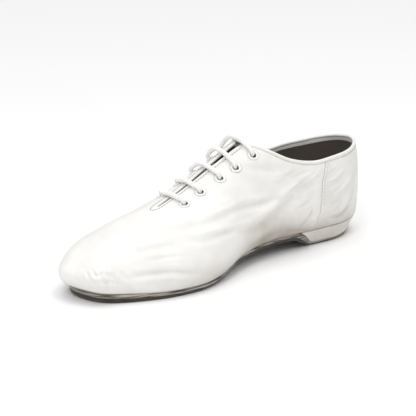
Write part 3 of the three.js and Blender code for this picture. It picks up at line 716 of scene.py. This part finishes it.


# Folds and creases, listed one by one. Each path runs from the toe towards the heel, as x from
# the back of the last and the girth share: 0 at the sole on the outer side, 1 at the top
# line, 2 at the sole on the inner side. Then width and depth in millimetres, and the swell
# above the trough and below it as shares of the depth. A negative depth is a ridge, and all
# depths are multiplied by the strength in foldShape.
folds = [
    # The long fold from the waist up to the topline, the sharp crease under its upper half,
    # and the lesser folds that run beside it
    ([(161, .375), (146, .358), (135, .35), (124, .367), (116, .417), (107.5, .51), (102, .59),
      (94, .70), (82, .825), (66, .91)], 3.8, -0.85, 0.1, 0.5),
    ([(102.5, .565), (94.6, .66), (83, .79), (70, .89)], 1.5, 0.46, 0.2, 0.3),
    ([(95, .675), (83, .775), (67, .88)], 2.0, -0.30, 0.3, 0.4),
    ([(103, .49), (94, .525), (84.6, .567)], 2.6, 0.38, 0.5, 0.2),
    ([(146, .25), (127, .25), (114, .30), (99, .35)], 3.8, 0.30, 0.4, 0.3),
    # Under the eyelets
    ([(132, .81), (122, .74), (110, .79), (98, .875)], 3.4, 0.32, 0.4, 0.2),
    ([(197, .75), (192, .72), (186, .72)], 2.6, 0.30, 0.4, 0.2),
    # Across the ball and the vamp
    ([(202.5, .61), (190, .56), (175, .525), (156, .51), (137, .475), (119, .44)], 3.3, 0.40, 0.5, 0.3),
    ([(209, .475), (195.5, .417), (182, .39), (151, .367)], 3.0, 0.36, 0.5, 0.3),
    ([(193.6, .49), (179, .44), (161, .40), (139, .35)], 2.2, -0.36, 0.2, 0.4),
    ([(157, .533), (137, .475), (122, .44), (107.5, .51), (93, .58)], 2.6, 0.36, 0.5, 0.2),
    ([(220, .74), (209, .65), (196.5, .575), (189, .56)], 3.6, 0.35, 0.5, 0.2),
    ([(246, .50), (239, .49), (232, .49), (222, .46), (214, .45)], 3.0, 0.36, 0.5, 0.3),
    ([(252, .217), (244.5, .217), (235, .217), (224, .208), (214, .175), (200, .142)],
     2.4, 0.62, 0.3, 0.6),
    # The counter, and the pull beside its seam
    ([(63, .71), (55, .725), (46.6, .775), (39.5, .81)], 1.6, -0.40, 0.2, 0.4),
    ([(52, .467), (43, .558), (38, .617), (31, .667), (26, .775)], 2.4, -0.46, 0.1, 0.4),
    ([(58, .19), (44, .15), (35, .21), (28, .34), (25, .55)], 2.4, 0.62, 0.3, 0.6),
    ([(75.4, .23), (76, .33), (75.4, .44)], 1.8, 0.34, 0.3, 0.3),
    ([(88, .16), (80, .26), (73, .375)], 2.0, 0.36, 0.3, 0.3),
    ([(0.2, .08), (0.2, .5), (0.2, .96)], 1.6, -0.28, 0.0, 0.0),
    ([(60, .80), (52, .84), (43, .86)], 1.5, 0.16, 0.5, 0.3),
    ([(57, .63), (49, .65), (41, .72), (36, .79)], 1.6, 0.20, 0.4, 0.4),
    ([(58, .36), (49, .38), (40, .46), (34, .55)], 2.0, 0.20, 0.4, 0.4),
    ([(92, .79), (84, .86), (74, .92)], 1.4, 0.18, 0.5, 0.3),
    ([(98, .76), (88, .85), (80, .92)], 1.2, 0.13, 0.5, 0.5),
    ([(110, .70), (101, .78), (92, .86), (86, .92)], 1.3, 0.14, 0.5, 0.5),
    ([(86, .62), (78, .68), (72, .76)], 1.3, 0.15, 0.5, 0.5),
    ([(96, .38), (88, .44), (80, .47), (73, .52)], 1.3, 0.14, 0.5, 0.5),
    ([(58, .74), (50, .78), (42, .84)], 1.2, 0.14, 0.5, 0.5),
    ([(55, .53), (47, .57), (40, .64), (34, .72)], 1.3, 0.15, 0.5, 0.5),
    ([(60, .25), (52, .26), (44, .33), (38, .43)], 1.4, 0.15, 0.5, 0.5),
    ([(128, .33), (118, .36), (108, .43)], 1.4, 0.15, 0.5, 0.5),
    ([(176, .62), (162, .60), (148, .58)], 1.5, 0.12, 0.5, 0.5),
    ([(238, .36), (226, .35), (212, .33)], 1.4, 0.14, 0.5, 0.5),
    ([(112, .62), (104, .71), (95, .82)], 1.7, 0.20, 0.4, 0.4),
    ([(90, .44), (82, .48), (75, .55)], 1.8, 0.22, 0.4, 0.4),
    # The toe's small creases
    ([(277, .31), (276, .25), (274, .175), (271, .10)], 1.2, 0.21, 0.8, 0.8),
    ([(274.5, .34), (273.5, .292), (272, .242), (270, .167)], 1.2, 0.23, 0.8, 0.8),
    ([(271.5, .33), (270, .258), (267.7, .183), (264.4, .10)], 1.3, 0.24, 0.8, 0.8),
    ([(266, .35), (265.1, .30), (263.1, .225), (262.5, .133)], 1.3, 0.23, 0.8, 0.8),
    ([(261, .33), (260.5, .283), (259.8, .192), (257.1, .108)], 1.4, 0.21, 0.8, 0.8),
    ([(275, .25), (271, .262), (268.3, .283), (265.7, .258), (261, .265)], 1.2, 0.14, 0.7, 0.7),
    ([(276, .17), (273, .175), (270, .167), (267, .167), (259, .16)], 1.3, 0.17, 0.7, 0.7),
    ([(256.5, .308), (254.6, .233), (250.1, .175)], 1.6, 0.24, 0.5, 0.5),
    # The inner side, which the photograph doesn't show: the same kinds of folds
    ([(205, 1.42), (188, 1.47), (170, 1.50), (148, 1.53)], 4.4, 0.50, 0.3, 0.5),
    ([(212, 1.56), (196, 1.60), (176, 1.62), (156, 1.66)], 3.6, 0.45, 0.3, 0.5),
    ([(150, 1.64), (132, 1.66), (116, 1.56), (100, 1.36), (78, 1.15)], 4.4, -0.80, 0.5, 0.1),
    ([(130, 1.25), (118, 1.28), (104, 1.18)], 3.8, 0.40, 0.2, 0.4),
    ([(246, 1.78), (232, 1.80), (214, 1.84), (200, 1.86)], 2.4, 0.55, 0.6, 0.3),
    ([(54, 1.52), (42, 1.40), (33, 1.30)], 3.0, -0.40, 0.4, 0.1),
    ([(56, 1.82), (42, 1.84), (30, 1.72), (25, 1.5)], 2.4, 0.55, 0.6, 0.3),
]
# A fold is worked out up to its reach, and its swells lie beside the trough, both in widths. Its
# ends fade out, and its path has some steps to each point.
foldShape = {"strength": 2.9, "reach": 4, "swellAt": 1.7, "fade": 0.7, "steps": 4}
# The edge of the counter, lapped over the quarter on the outer side
quarterSeam = [(59.4, 1), (61, .93), (63, .83), (65, .73), (65.5, .625), (66, .525), (67.3, .417),
               (67.8, .31), (69.3, .25), (69.8, .14), (70, 0)]
# Loose leather: low swells all over, fading out at the edges
softness = {"width": 34, "height": 1.0, "small": 12, "smallHeight": 0.34}
# The rows of thread, in millimetres from the slit's edge, its mouth and its end, and from the
# counter's edge; the counter's row goes part of the way down.
stitches = {"fromEdge": 3.3, "fromMouth": 1.5, "besideTip": 4.2, "aheadOfSlit": 6.3, "pitch": 2.5,
            "length": 1.7, "thickness": 0.55, "raised": 0.1, "ahead": 0.5, "sides": 8,
            "seamPitch": 2.6, "behindSeam": 2.6, "seamShare": 0.6, "seamSteps": 60, "slitSteps": 30,
            "tipSteps": 12}


def girthPoint(loop, x, girth):
    half = upper["columns"] - 1
    columns = loop["x"][:half + 1]
    at = np.interp(x, columns, np.arange(half + 1))
    low = int(min(at, half - 1))
    rows = upper["rows"] - 1
    level = (girth if girth <= 1 else 2 - girth) * rows
    row = int(min(level, rows - 1))

    def corner(i, k):
        place = i if girth <= 1 else (len(loop["x"]) - i) % len(loop["x"])
        return loop["grid"][place, k]

    u, v = at - low, level - row
    return ((1 - u) * (1 - v) * corner(low, row) + u * (1 - v) * corner(low + 1, row)
            + (1 - u) * v * corner(low, row + 1) + u * v * corner(low + 1, row + 1))


def splinePath(points, count):
    points = np.asarray(points, float)
    steps = travelled(points)
    wanted = np.linspace(0, steps[-1], count)
    return np.stack([through(steps, points[:, k], wanted) for k in range(3)], -1)


def nearestOn(path, points, facing):  # distance, signed distance and share of the way along
    best = np.full(len(points), 1e9)
    signed = np.zeros(len(points))
    share = np.zeros(len(points))
    for i in range(len(path) - 1):
        step = path[i + 1] - path[i]
        u = np.clip(((points - path[i]) @ step) / (step @ step), 0, 1)
        away = points - path[i] - u[:, None] * step
        distance = np.linalg.norm(away, axis=1)
        closer = distance < best
        sign = np.sign((np.cross(facing, step) * away).sum(axis=1))
        best = np.where(closer, distance, best)
        signed = np.where(closer, sign * distance, signed)
        share = np.where(closer, (i + u) / (len(path) - 1), share)
    return best, signed, share


def addFold(loop, normals, height, fold):
    keys, width, depth, above, below = fold
    path = splinePath([girthPoint(loop, x, girth) for x, girth in keys], foldShape["steps"] * len(keys))
    low = path.min(axis=0) - foldShape["reach"] * width
    high = path.max(axis=0) + foldShape["reach"] * width
    near = np.all((loop["grid"] > low) & (loop["grid"] < high), axis=2)
    best, signed, share = nearestOn(path, loop["grid"][near], normals[near])
    if keys[0][1] > 1:
        above, below = below, above
        signed = -signed
    fade = np.sin(np.pi * np.clip(share, 0, 1))**foldShape["fade"]
    profile = -np.exp(-(best / width)**2)
    for swell, middle in ((above, foldShape["swellAt"]), (below, -foldShape["swellAt"])):
        profile += swell * np.exp(-(signed / width - middle)**2)
    height[near] += foldShape["strength"] * depth * fade * profile


def addSoftness(loop, height):
    rows = height.shape[1]
    edge = np.sin(np.pi * np.clip(np.arange(rows) / (rows - 1), 0, 1))**0.5
    for i, column in enumerate(loop["grid"]):
        for k in range(rows):
            place = Vector(column[k])
            swell = softness["height"] * noise.noise(place / softness["width"])
            swell += softness["smallHeight"] * noise.noise(place / softness["small"])
            height[i, k] += swell * edge[k]


def slitRow(sign):  # the row of thread on one side of the slit, from the mouth to its tip
    front = lacing["slitFront"]
    rows = []
    for x in np.linspace(mouthFront + stitches["fromMouth"], front, stitches["slitSteps"]):
        rows.append(instepPoint(np.array(x), sign * (slitHalf(np.array(x)) + stitches["fromEdge"])))
    for angle in np.linspace(0, math.pi / 2, stitches["tipSteps"])[1:]:
        x = front + stitches["aheadOfSlit"] * math.sin(angle)
        rows.append(instepPoint(np.array(x), sign * stitches["besideTip"] * math.cos(angle)))
    return rows


def sewnLinesOf(loop, normals):  # signed distances from the sewn lines, with a mask for each
    points = loop["grid"].reshape(-1, 3)
    facing = normals.reshape(-1, 3)
    seam = splinePath([girthPoint(loop, x, girth) for x, girth in quarterSeam], stitches["seamSteps"])
    row = np.array(slitRow(1) + slitRow(-1)[::-1][1:])
    farthest = sewnLines["farthest"]
    found = []
    for path in (seam, row):
        best, signed, _ = nearestOn(path, points, facing)
        found += [np.clip(signed, -farthest, farthest), np.clip(1 - best / sewnLines["mask"], 0, 1)]
    return np.stack(found, -1).reshape(loop["grid"].shape[:2] + (4,)), seam, row


# Painted shade mixed into the upper's colour, each kind with its strength: shade low at the waist,
# shade in the troughs of the folds, along the bottom edge, the shadow where it meets the sole, the
# shadow round the eyelets' flanges, shade behind the waist and the shadow under the piping. Places and
# reaches along the foot and at the eyelets are in millimetres, and reaches up the girth are shares of
# it.
worn = {"waist": 1.1, "waistAt": 110, "waistLength": 36, "waistGirth": 0.25, "trough": 0.07,
        "edge": 0.75, "edgeReach": 0.14, "edgeAt": 150, "edgeLength": 50, "edgeLeast": 0.3,
        "feather": 0.9, "featherReach": 0.013, "eyelet": 0.5, "eyeletReach": 0.5,
        "rear": 0.10, "rearFrom": 150, "rearFade": 50, "low": 0.2, "lowReach": 0.2,
        "rim": 0.8, "rimReach": 0.012}


# The painted shade at each point of the upper's outer face: grey mixed into the leather's colour, up to
# 1.
def paintedShadeOf(loop, outer, trough, holes):
    share = np.arange(upper["rows"]) / (upper["rows"] - 1)
    x = loop["x"][:, None]

    def bell(distance, reach):
        return np.exp(-(distance / reach)**2)

    rear = np.clip((worn["rearFrom"] - x) / worn["rearFade"], 0, 1)
    wide = worn["edgeLeast"] + bell(x - worn["edgeAt"], worn["edgeLength"])
    paintedShade = worn["edge"] * wide * bell(share, worn["edgeReach"]) + worn["rear"] * rear
    paintedShade += worn["feather"] * bell(share, worn["featherReach"])
    for hole in holes:
        away = np.linalg.norm(outer - hole["at"], axis=2) - lacing["eyeletBore"] / 2 - lacing["flange"]
        paintedShade += worn["eyelet"] * bell(away, worn["eyeletReach"])
    paintedShade += worn["low"] * rear * bell(share, worn["lowReach"])
    waist = bell(x - worn["waistAt"], worn["waistLength"])
    paintedShade += worn["waist"] * waist * bell(share, worn["waistGirth"])
    paintedShade += worn["trough"] * trough
    paintedShade += worn["rim"] * (x < mouthFront) * bell(1 - share, worn["rimReach"])
    return np.minimum(paintedShade, 1)


def foldedEdge(loop, rim, facing):  # rows that turn over the leather's edge, straight where joined
    out = unit(np.cross(roundAlong(rim), facing))
    wall = last["wall"]
    rows = []
    for i in range(1, upper["edgeRows"] + 1):
        share = i / (upper["edgeRows"] + 1)
        angle = math.pi * share
        over = facing * math.cos(angle) * wall / 2 + out * math.sin(angle) * lacing["rolledEdge"]
        straight = rim - facing * wall * share
        rows.append(np.where(loop["joined"][:, None], straight, rim - facing * wall / 2 + over))
    return rows


def makeUpper():
    loop = upperLoop()
    normals = loopNormals(loop["grid"], loop["joined"])
    height = np.zeros(loop["grid"].shape[:2])
    for fold in folds:
        addFold(loop, normals, height, fold)
    trough = np.clip(-height, 0, 1)
    addSoftness(loop, height)
    lines, seam, row = sewnLinesOf(loop, normals)
    outer = loop["grid"] + normals * height[..., None]
    facing = loopNormals(outer, loop["joined"])
    count, rows = height.shape
    top = rows - 1
    wall = last["wall"]
    edge = foldedEdge(loop, outer[:, top], facing[:, top])
    lining = [outer[:, k] - facing[:, k] * wall for k in range(top, -1, -upper["liningStep"])]
    turn = turnOf(loop["x"])
    margin = last["rollDepth"] * section("tuck", loop["x"]) + last["lastingMargin"]
    plan = np.where((loop["side"] > 0)[:, None], drawnIn(turn, 1, margin), drawnIn(turn, -1, margin))
    under = np.concatenate([plan, (soleTop(plan[:, 0]) + last["gap"])[:, None]], 1)
    face = [outer[:, k] for k in range(rows)]
    rings = np.stack(face + edge + lining[:-1] + [under + [0, 0, wall], under], axis=1)
    levels = rings.shape[1]
    numbers = np.arange(count * levels).reshape(count, levels)
    following = np.roll(numbers, -1, axis=0)
    ahead = np.roll(rings, -1, axis=0)
    closed = loop["joined"] & np.roll(loop["joined"], -1)
    faces = []
    slots = []
    liningStart = top + upper["edgeRows"] + 1
    holes = eyeletFrames()
    for k in range(levels):
        after = (k + 1) % levels
        skip = closed & (top <= k < liningStart)
        quads = np.stack([numbers[:, k], following[:, k], following[:, after], numbers[:, after]], 1)
        middle = (rings[:, k] + ahead[:, k] + ahead[:, after] + rings[:, after]) / 4
        for hole in holes:
            away = middle - hole["at"]
            depth = away @ hole["normal"]
            aside = np.linalg.norm(away - depth[:, None] * hole["normal"], axis=1)
            skip = skip | ((np.abs(depth) < eyelets["through"]) & (aside < eyelets["hole"]))
        faces.extend(quads[~skip].tolist())
        slots.extend([0 if k < liningStart + 1 else 1] * int((~skip).sum()))
    piece = makePiece("upperLeather", rings.reshape(-1, 3), faces, [leatherUpper, liningClothDarkenedForShade], slots)
    sewn = np.zeros((count, levels, 4), dtype=np.float32)
    sewn[:, :rows] = lines
    # The painted shade goes on the outer face as a point attribute.
    paintedShade = np.zeros((count, levels), dtype=np.float32)
    paintedShade[:, :rows] = paintedShadeOf(loop, outer, trough, holes)
    shades = piece.data.attributes
    shades.new("sewnLines", "FLOAT_COLOR", "POINT").data.foreach_set("color", sewn.ravel())
    shades.new("paintedShade", "FLOAT", "POINT").data.foreach_set("value", paintedShade.ravel())
    weldSeams(piece)
    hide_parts("upper")
    print("upper made,", len(faces), "faces")
    makeStitches(outer, facing, seam, row)
    return loop, outer, facing


def makeStitches(outer, facing, seam, row):  # short lengths of thread lying in the leather
    points = outer.reshape(-1, 3)
    normals = facing.reshape(-1, 3)
    capsule = [(-1, .25), (-.75, .8), (-.3, 1), (.3, 1), (.75, .8), (1, .25)]
    thick = stitches["thickness"]
    sides = stitches["sides"]
    made = []
    faces = []
    slots = []
    seam = seam[:int(stitches["seamShare"] * len(seam))]
    runs = ((row, stitches["pitch"], 0), (seam, stitches["seamPitch"], stitches["behindSeam"]))
    for number, (path, pitch, behind) in enumerate(runs):
        way = travelled(path)
        for start in np.arange(pitch / 2, way[-1] - pitch / 2, pitch):
            here = np.array([np.interp(start, way, path[:, k]) for k in range(3)])
            there = np.array([np.interp(start + stitches["ahead"], way, path[:, k]) for k in range(3)])
            normal = normals[np.argmin(((points - here)**2).sum(axis=1))]
            along = unit(there - here)
            along = unit(along - normal * (along @ normal))
            across = np.cross(normal, along)
            here = here + across * behind
            nearest = points[np.argmin(((points - here)**2).sum(axis=1))]
            here = here + normal * ((nearest - here) @ normal)
            base = len(made)
            for place, size in capsule:
                centre = here + along * place * stitches["length"] / 2
                centre = centre + normal * thick * stitches["raised"]
                for k in range(sides):
                    angle = 2 * math.pi * k / sides
                    made.append(centre + size * thick / 2
                                * (math.cos(angle) * across + math.sin(angle) * normal))
            faces += ringFaces(len(capsule), sides, base) + ringCaps(len(capsule), sides, base)
            slots += [number] * (len(faces) - len(slots))
    makePiece("stitchThread", np.array(made), faces, [threadCotton, threadSeam], slots)
    print("stitches made")


weldDistance = 2e-6  # metres


def weldSeams(piece, fill=False):  # joins points that meet, and with fill closes open ends
    work = bmesh.new()
    work.from_mesh(piece.data)
    bmesh.ops.remove_doubles(work, verts=work.verts, dist=weldDistance)
    loose = [v for v in work.verts if not v.link_faces]
    bmesh.ops.delete(work, geom=loose, context="VERTS")
    if fill:
        bmesh.ops.holes_fill(work, edges=work.edges, sides=0)
    bmesh.ops.recalc_face_normals(work, faces=work.faces)
    work.to_mesh(piece.data)
    work.free()


# Eyelets: enamelled ring eyelets, rolled over the leather. All but the counts in millimetres: the
# radius cut from the leather and how far through it goes, and the ring's barrel and roll.
eyelets = {"hole": 3.15, "through": 5, "sides": 40, "barrel": 0.7, "barrelWall": 0.35, "seat": 0.25,
           "foot": 0.1, "roll": 0.75, "rollSteps": 8, "lip": 0.4, "lipIn": 0.05}


def instepFrame(x, across):
    step = 0.5
    point = instepPoint(np.array(x, float), across)
    along = instepPoint(np.array(x + step), across) - instepPoint(np.array(x - step), across)
    here = np.array(x, float)
    over = instepPoint(here, across + step) - instepPoint(here, across - step)
    return {"at": point, "normal": unit(np.cross(along, over)), "x": x, "across": across}


def laceFrame(pair, share):  # share 0 is the outer eyelet of a pair, 1 the inner one
    first = lacing["slitFront"] - lacing["firstPair"]
    final = mouthFront - lacing["lastPair"]
    spread = lacing["eyeletSpread"]
    x = first + (final - first) * lacing["at"][pair] + spread * lacing["ahead"][pair] * share
    across = spread * (lacing["outer"][pair] * (1 - share) - lacing["inner"][pair] * share)
    return instepFrame(x, across)


def eyeletFrames():
    return [dict(laceFrame(pair, share), side=1 - 2 * share) for pair in range(5) for share in (0, 1)]


loop, leatherFace, leatherNormals = makeUpper()


def sweep(path, radius, sides):  # tube round a path of points
    path = np.asarray(path, float)
    along = unit(np.gradient(path, axis=0))
    frames = [unit(np.cross(along[0], [0.0, 0.1, 1.0]))]
    for i in range(1, len(path)):
        carried = frames[-1] - along[i] * (frames[-1] @ along[i])
        frames.append(unit(carried))
    frames = np.array(frames)
    other = np.cross(along, frames)
    angles = np.linspace(0, 2 * np.pi, sides, endpoint=False)
    radius = np.broadcast_to(radius, (len(path),))[:, None, None]
    return path[:, None, :] + radius * (np.cos(angles)[None, :, None] * frames[:, None, :]
                                        + np.sin(angles)[None, :, None] * other[:, None, :])


def makeTube(name, path, radius, sides, material):  # its map holds the length in mm and the turn
    rings = sweep(path, radius, sides)
    count = len(path)
    way = travelled(path)
    corners = []
    for here, there in zip(way[:-1], way[1:]):
        for k in range(sides):
            turn, after = k / sides, (k + 1) / sides
            corners += [(here, turn), (here, after), (there, after), (there, turn)]
    corners += [(0, 0)] * (2 * sides)
    faces = ringFaces(count, sides) + ringCaps(count, sides)
    piece = makePiece(name, rings.reshape(-1, 3), faces, [material])
    layer = piece.data.uv_layers.new(name="along")
    layer.data.foreach_set("uv", np.array(corners, dtype=np.float32).ravel())
    return piece


# The piping's tube, and how far it may reach over the corner of the slit's mouth, in millimetres
piping = {"steps": 420, "sides": 16, "every": 3, "over": 1.2}


def makePiping():
    radius = lacing["pipingDiameter"] / 2
    top = upper["rows"] - 1
    rim = leatherFace[:, top]
    facing = leatherNormals[:, top]
    out = unit(np.cross(roundAlong(rim), facing))
    seat = rim + out * (radius + last["gap"]) - facing * last["wall"] / 2
    onRim = loop["x"] <= mouthFront
    start = np.where(~onRim)[0][-1] + 1
    order = [(start + i) % len(rim) for i in range(len(rim))]
    points = seat[[i for i in order if onRim[i]]]
    margin = lacing["slitWide"] / 2 + radius + last["gap"] - piping["over"]
    keep = (points[:, 0] < mouthFront / 2) | (np.abs(points[:, 1] - slitY(points[:, 0])) >= margin)
    path = splinePath(points[keep][::piping["every"]], piping["steps"])
    piece = makeTube("collarPiping", path, radius, piping["sides"], leatherPiping)
    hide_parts("collar_piping")


makePiping()


# Sole layers and heel, with the same sections as the source and rounded edges
def waistShare(x):
    u = np.clip((x - sole["heelFoot"]) / (sole["heelTop"] - sole["heelFoot"]), 0, 1)
    return u * u * (3 - 2 * u)


def lowToe(x):
    return soleTop(x) - (last["toeSpring"] - sole["outsoleSpring"]) * section("spring", x)


def outsoleBottom(x):
    return np.maximum(lowToe(x) - sole["midsole"] - sole["outsole"], 0) * waistShare(x)


def outsoleTop(x):
    layers = sole["midsole"] + sole["outsole"]
    thick = sole["heelOutsole"] + (sole["outsole"] - sole["heelOutsole"]) * waistShare(x)
    worn = np.where((outsoleBottom(x) == 0) & (x > sole["heelTop"]), layers - lowToe(x), 0)
    return outsoleBottom(x) + thick - worn


def midsoleTop(x):
    share = waistShare(x)
    return (outsoleTop(x) + sole["heelMidsole"]) * (1 - share) + soleTop(x) * share


def soleInset(x, z):
    taper = sole["heelTaper"] * (1 - waistShare(x)) * (1 - z / soleTop(x))
    toe = sole["soleToe"] * np.maximum((x - last["length"]) / sole["toeCurve"] + 1, 0)**2
    return last["rollDepth"] * section("tuck", x) + taper + toe


# The layers' columns are closer at the heel breast. Their edges are rounded, two faces are kept a
# little apart, and the outline round the toe is eased many times, all in millimetres. Edges
# that turn by more than the sharp angle, in degrees, are drawn sharp.
layers = {"columns": 260, "fewer": 160, "breast": (76, 12, 2.5), "outsoleRound": 0.5,
          "midsoleRound": 0.35, "heelRound": 0.8, "insoleRound": 0.6, "apart": 0.02, "easeFrom": 215,
          "easeOver": 20, "easings": 120, "sharp": 50}


def soleTurns(front, count):
    return spacedTurns(turnOf(np.array(front, float)), count, 4001, [layers["breast"]])


def makeLayer(name, node, material, turns, levels, rounding):
    # levels: (height, inset) pairs from the bottom up; the edge is rounded by extra rows
    sides = []
    for side in (1, -1):
        rows = []
        start = widest(turns, side)[:, 0]
        for height, inset in levels:
            plan = drawnIn(turns, side, inset(start, height(start)))
            rows.append(np.concatenate([plan, height(plan[:, 0])[:, None]], 1))
        sides.append(rows)
    outer, inner = sides
    for a, b in zip(outer, inner):
        smoothToe(a, b)
    rings = roundRings(np.stack(outer + inner[::-1], axis=1), rounding)
    piece = makePiece(name, rings.reshape(-1, 3), ringFaces(*rings.shape[:2]), [material])
    weldSeams(piece, fill=True)
    piece.data.set_sharp_from_angle(angle=math.radians(layers["sharp"]))
    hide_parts(node)


def smoothToe(outer, inner):  # eases the outline of a layer round the toe, ahead of the ball
    line = np.concatenate([outer, inner[::-1]])
    share = np.clip((line[:, 0:1] - layers["easeFrom"]) / layers["easeOver"], 0, 1)
    for _ in range(layers["easings"]):
        eased = line.copy()
        eased[1:-1] = (line[:-2] + 2 * line[1:-1] + line[2:]) / 4
        line = line * (1 - share) + eased * share
    outer[:] = line[:len(outer)]
    inner[:] = line[len(outer):][::-1]


def roundRings(rings, radius):  # cuts each corner of the section with a small round
    rounded = []
    around = rings.shape[1]
    for k in range(around):
        here = rings[:, k]
        before = rings[:, k - 1] - here
        after = rings[:, (k + 1) % around] - here
        reachBefore = np.minimum(radius, np.linalg.norm(before, axis=1) * 0.45)[:, None]
        reachAfter = np.minimum(radius, np.linalg.norm(after, axis=1) * 0.45)[:, None]
        start = here + unit(before) * reachBefore
        end = here + unit(after) * reachAfter
        for t in (0, 0.5, 1):
            rounded.append((1 - t)**2 * start + 2 * t * (1 - t) * here + t**2 * end)
    return np.stack(rounded, axis=1)


def makeSole():
    gap = last["gap"]
    turns = soleTurns(last["length"], layers["columns"])
    bevel = lambda x: sole["waistBevel"] * section("bevel", x)
    makeLayer("outsoleSuede", "outsole", soleSuede, turns,
              [(outsoleBottom, lambda x, z: soleInset(x, z) + bevel(x)),
               (lambda x: outsoleTop(x) - layers["apart"], lambda x, z: soleInset(x, z) + gap)],
              layers["outsoleRound"])
    makeLayer("midsoleEdge", "midsole", midsoleLeather, turns,
              [(outsoleTop, soleInset), (midsoleTop, soleInset)], layers["midsoleRound"])
    low = lambda x: midsoleTop(x) + gap
    front = crossing(sole["heelFoot"], sole["heelTop"],
                     lambda x: soleTop(x) - low(x) < sole["heelEdge"])
    makeLayer("heelCover", "heel", leatherHeelShaded, soleTurns(front, layers["fewer"]),
              [(low, soleInset),
               (lambda x: (low(x) + soleTop(x)) / 2, lambda x, z: soleInset(x, z) + gap),
               (soleTop, soleInset)], layers["heelRound"])
    inset = lambda x, z: last["rollDepth"] * section("tuck", x) + last["lastingMargin"] + 2 * gap
    board = lambda x: soleTop(x) + gap
    makeLayer("insoleSheet", "insole", insoleLeatherDarkenedForShade,
              soleTurns(last["length"], layers["fewer"]),
              [(board, inset), (lambda x: board(x) + sole["insole"], inset)], layers["insoleRound"])
    print("sole made")


makeSole()


def makeEyelets():
    bore = lacing["eyeletBore"] / 2
    half = lacing["flange"] / 2
    barrel, seat = eyelets["barrel"], eyelets["seat"]
    outside = bore + eyelets["barrelWall"]
    profile = [(bore, -barrel), (outside, -barrel), (outside, seat), (bore + 2 * half, eyelets["foot"])]
    for i in range(eyelets["rollSteps"] + 1):
        angle = math.pi * i / eyelets["rollSteps"]
        profile.append((bore + half * (1 + math.cos(angle)), seat + eyelets["roll"] * math.sin(angle)))
    profile.append((bore - eyelets["lipIn"], -eyelets["lip"]))
    rings = np.array(profile)
    angles = np.linspace(0, 2 * np.pi, eyelets["sides"], endpoint=False)
    for number, place in enumerate(eyeletFrames()):
        normal = place["normal"]
        across = unit(np.cross(normal, [1.0, 0, 0]))
        other = np.cross(normal, across)
        points = (place["at"] + rings[None, :, 0:1] * (np.cos(angles)[:, None, None] * across
                  + np.sin(angles)[:, None, None] * other) + rings[None, :, 1:2] * normal)
        faces = ringFaces(len(angles), len(profile), closed=True)
        side = "outer" if place["side"] > 0 else "inner"
        pair = number // 2 + 1
        piece = makePiece(f"eyeletRing_{side}_{pair}", points.reshape(-1, 3), faces, [eyeletEnamel])
        weldSeams(piece)
        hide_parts(f"eyelet_{side}_{pair}")


makeEyelets()


# Lace: a round braid, in millimetres where nothing else is said. near and far: how far each bar
# stands off the leather on the outer and on the inner side of the slit, as shares of the lace's
# diameter. ends: how far towards the slit, in radii, and how high the bar goes through each
# eyelet. runs: pair, side and sideways place of both ends of each run inside; the two hidden
# ends stop under the top pair.
lace = {
    "visibleDiameter": 3.9, "squeeze": 0.25, "squeezed": 16, "sides": 16, "barSteps": 90,
    "runSteps": 60, "standOff": 0.35, "near": [0, 0, 0, 0, 0.15], "far": [0, 0.2, 0.4, 0.65, 0.55],
    "ends": [(0.4, -3.6), (0.43, -1.5), (0.46, 0.3), (0.66, 1.9), (1.3, 3.2)],
    "shares": [0.18, 0.34, 0.5, 0.66, 0.82],
    "runs": [((0, 0, 1), (1, 0)), ((2, 0, 1), (4, 0)), ((3, 0, -1), (4, 0)), ((0, 1, 1), (2, 1)),
             ((1, 1, -1), (3, 1))],
    "runShares": [0, 0.12, 0.3, 0.5, 0.7, 0.88, 1], "depth": 4.4, "endDepth": 3.1, "aside": 2.4,
}


def barPath(pair):
    radius = lacing["laceDiameter"] / 2
    rows = []
    for side in (1, -1):
        here = laceFrame(pair, (1 - side) / 2)
        level = np.array([0, -side, 0], float)
        uphill = unit(level - here["normal"] * (level @ here["normal"]))
        rows.append([here["at"] + uphill * over * radius + here["normal"] * rise
                     for over, rise in lace["ends"]])
    middle = []
    for share in lace["shares"]:
        here = laceFrame(pair, share)
        near = lace["near"][pair] * math.sin(math.pi * (1 - (1 - share)**2))
        far = lace["far"][pair] * math.sin(math.pi * share**2)
        rise = radius + lace["standOff"] + (near + far) * lacing["laceDiameter"]
        middle.append(here["at"] + here["normal"] * rise)
    return rows[0] + middle + rows[1][::-1]


def runPath(start, end):  # inside, from one eyelet to another along the same side
    first = laceFrame(start[0], start[1])
    final = laceFrame(end[0], end[1])
    aside = lace["aside"] * start[2]
    points = []
    for share in lace["runShares"]:
        x = first["x"] + (final["x"] - first["x"]) * share
        across = first["across"] + (final["across"] - first["across"]) * share
        here = instepFrame(x, across + aside * math.sin(math.pi * share))
        points.append(here["at"] - here["normal"] * lace["endDepth" if share in (0, 1) else "depth"])
    return points


def makeLace():
    steps = np.arange(lace["barSteps"])
    fromEnd = np.minimum(steps, steps[::-1]) / lace["squeezed"]
    radius = lace["visibleDiameter"] / 2 * (1 - lace["squeeze"] * np.exp(-fromEnd**2))
    for pair in range(5):
        path = splinePath(barPath(pair), lace["barSteps"])
        piece = makeTube(f"laceBar_{pair + 1}", path, radius, lace["sides"], laceCotton)
        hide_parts(f"lace_bar_{pair + 1}")
    for number, (start, end) in enumerate(lace["runs"]):
        makeTube(f"laceRun_{number + 1}", splinePath(runPath(start, end), lace["runSteps"]),
                 lacing["laceDiameter"] / 2, lace["sides"], laceCotton)
    print("lace made")


makeLace()

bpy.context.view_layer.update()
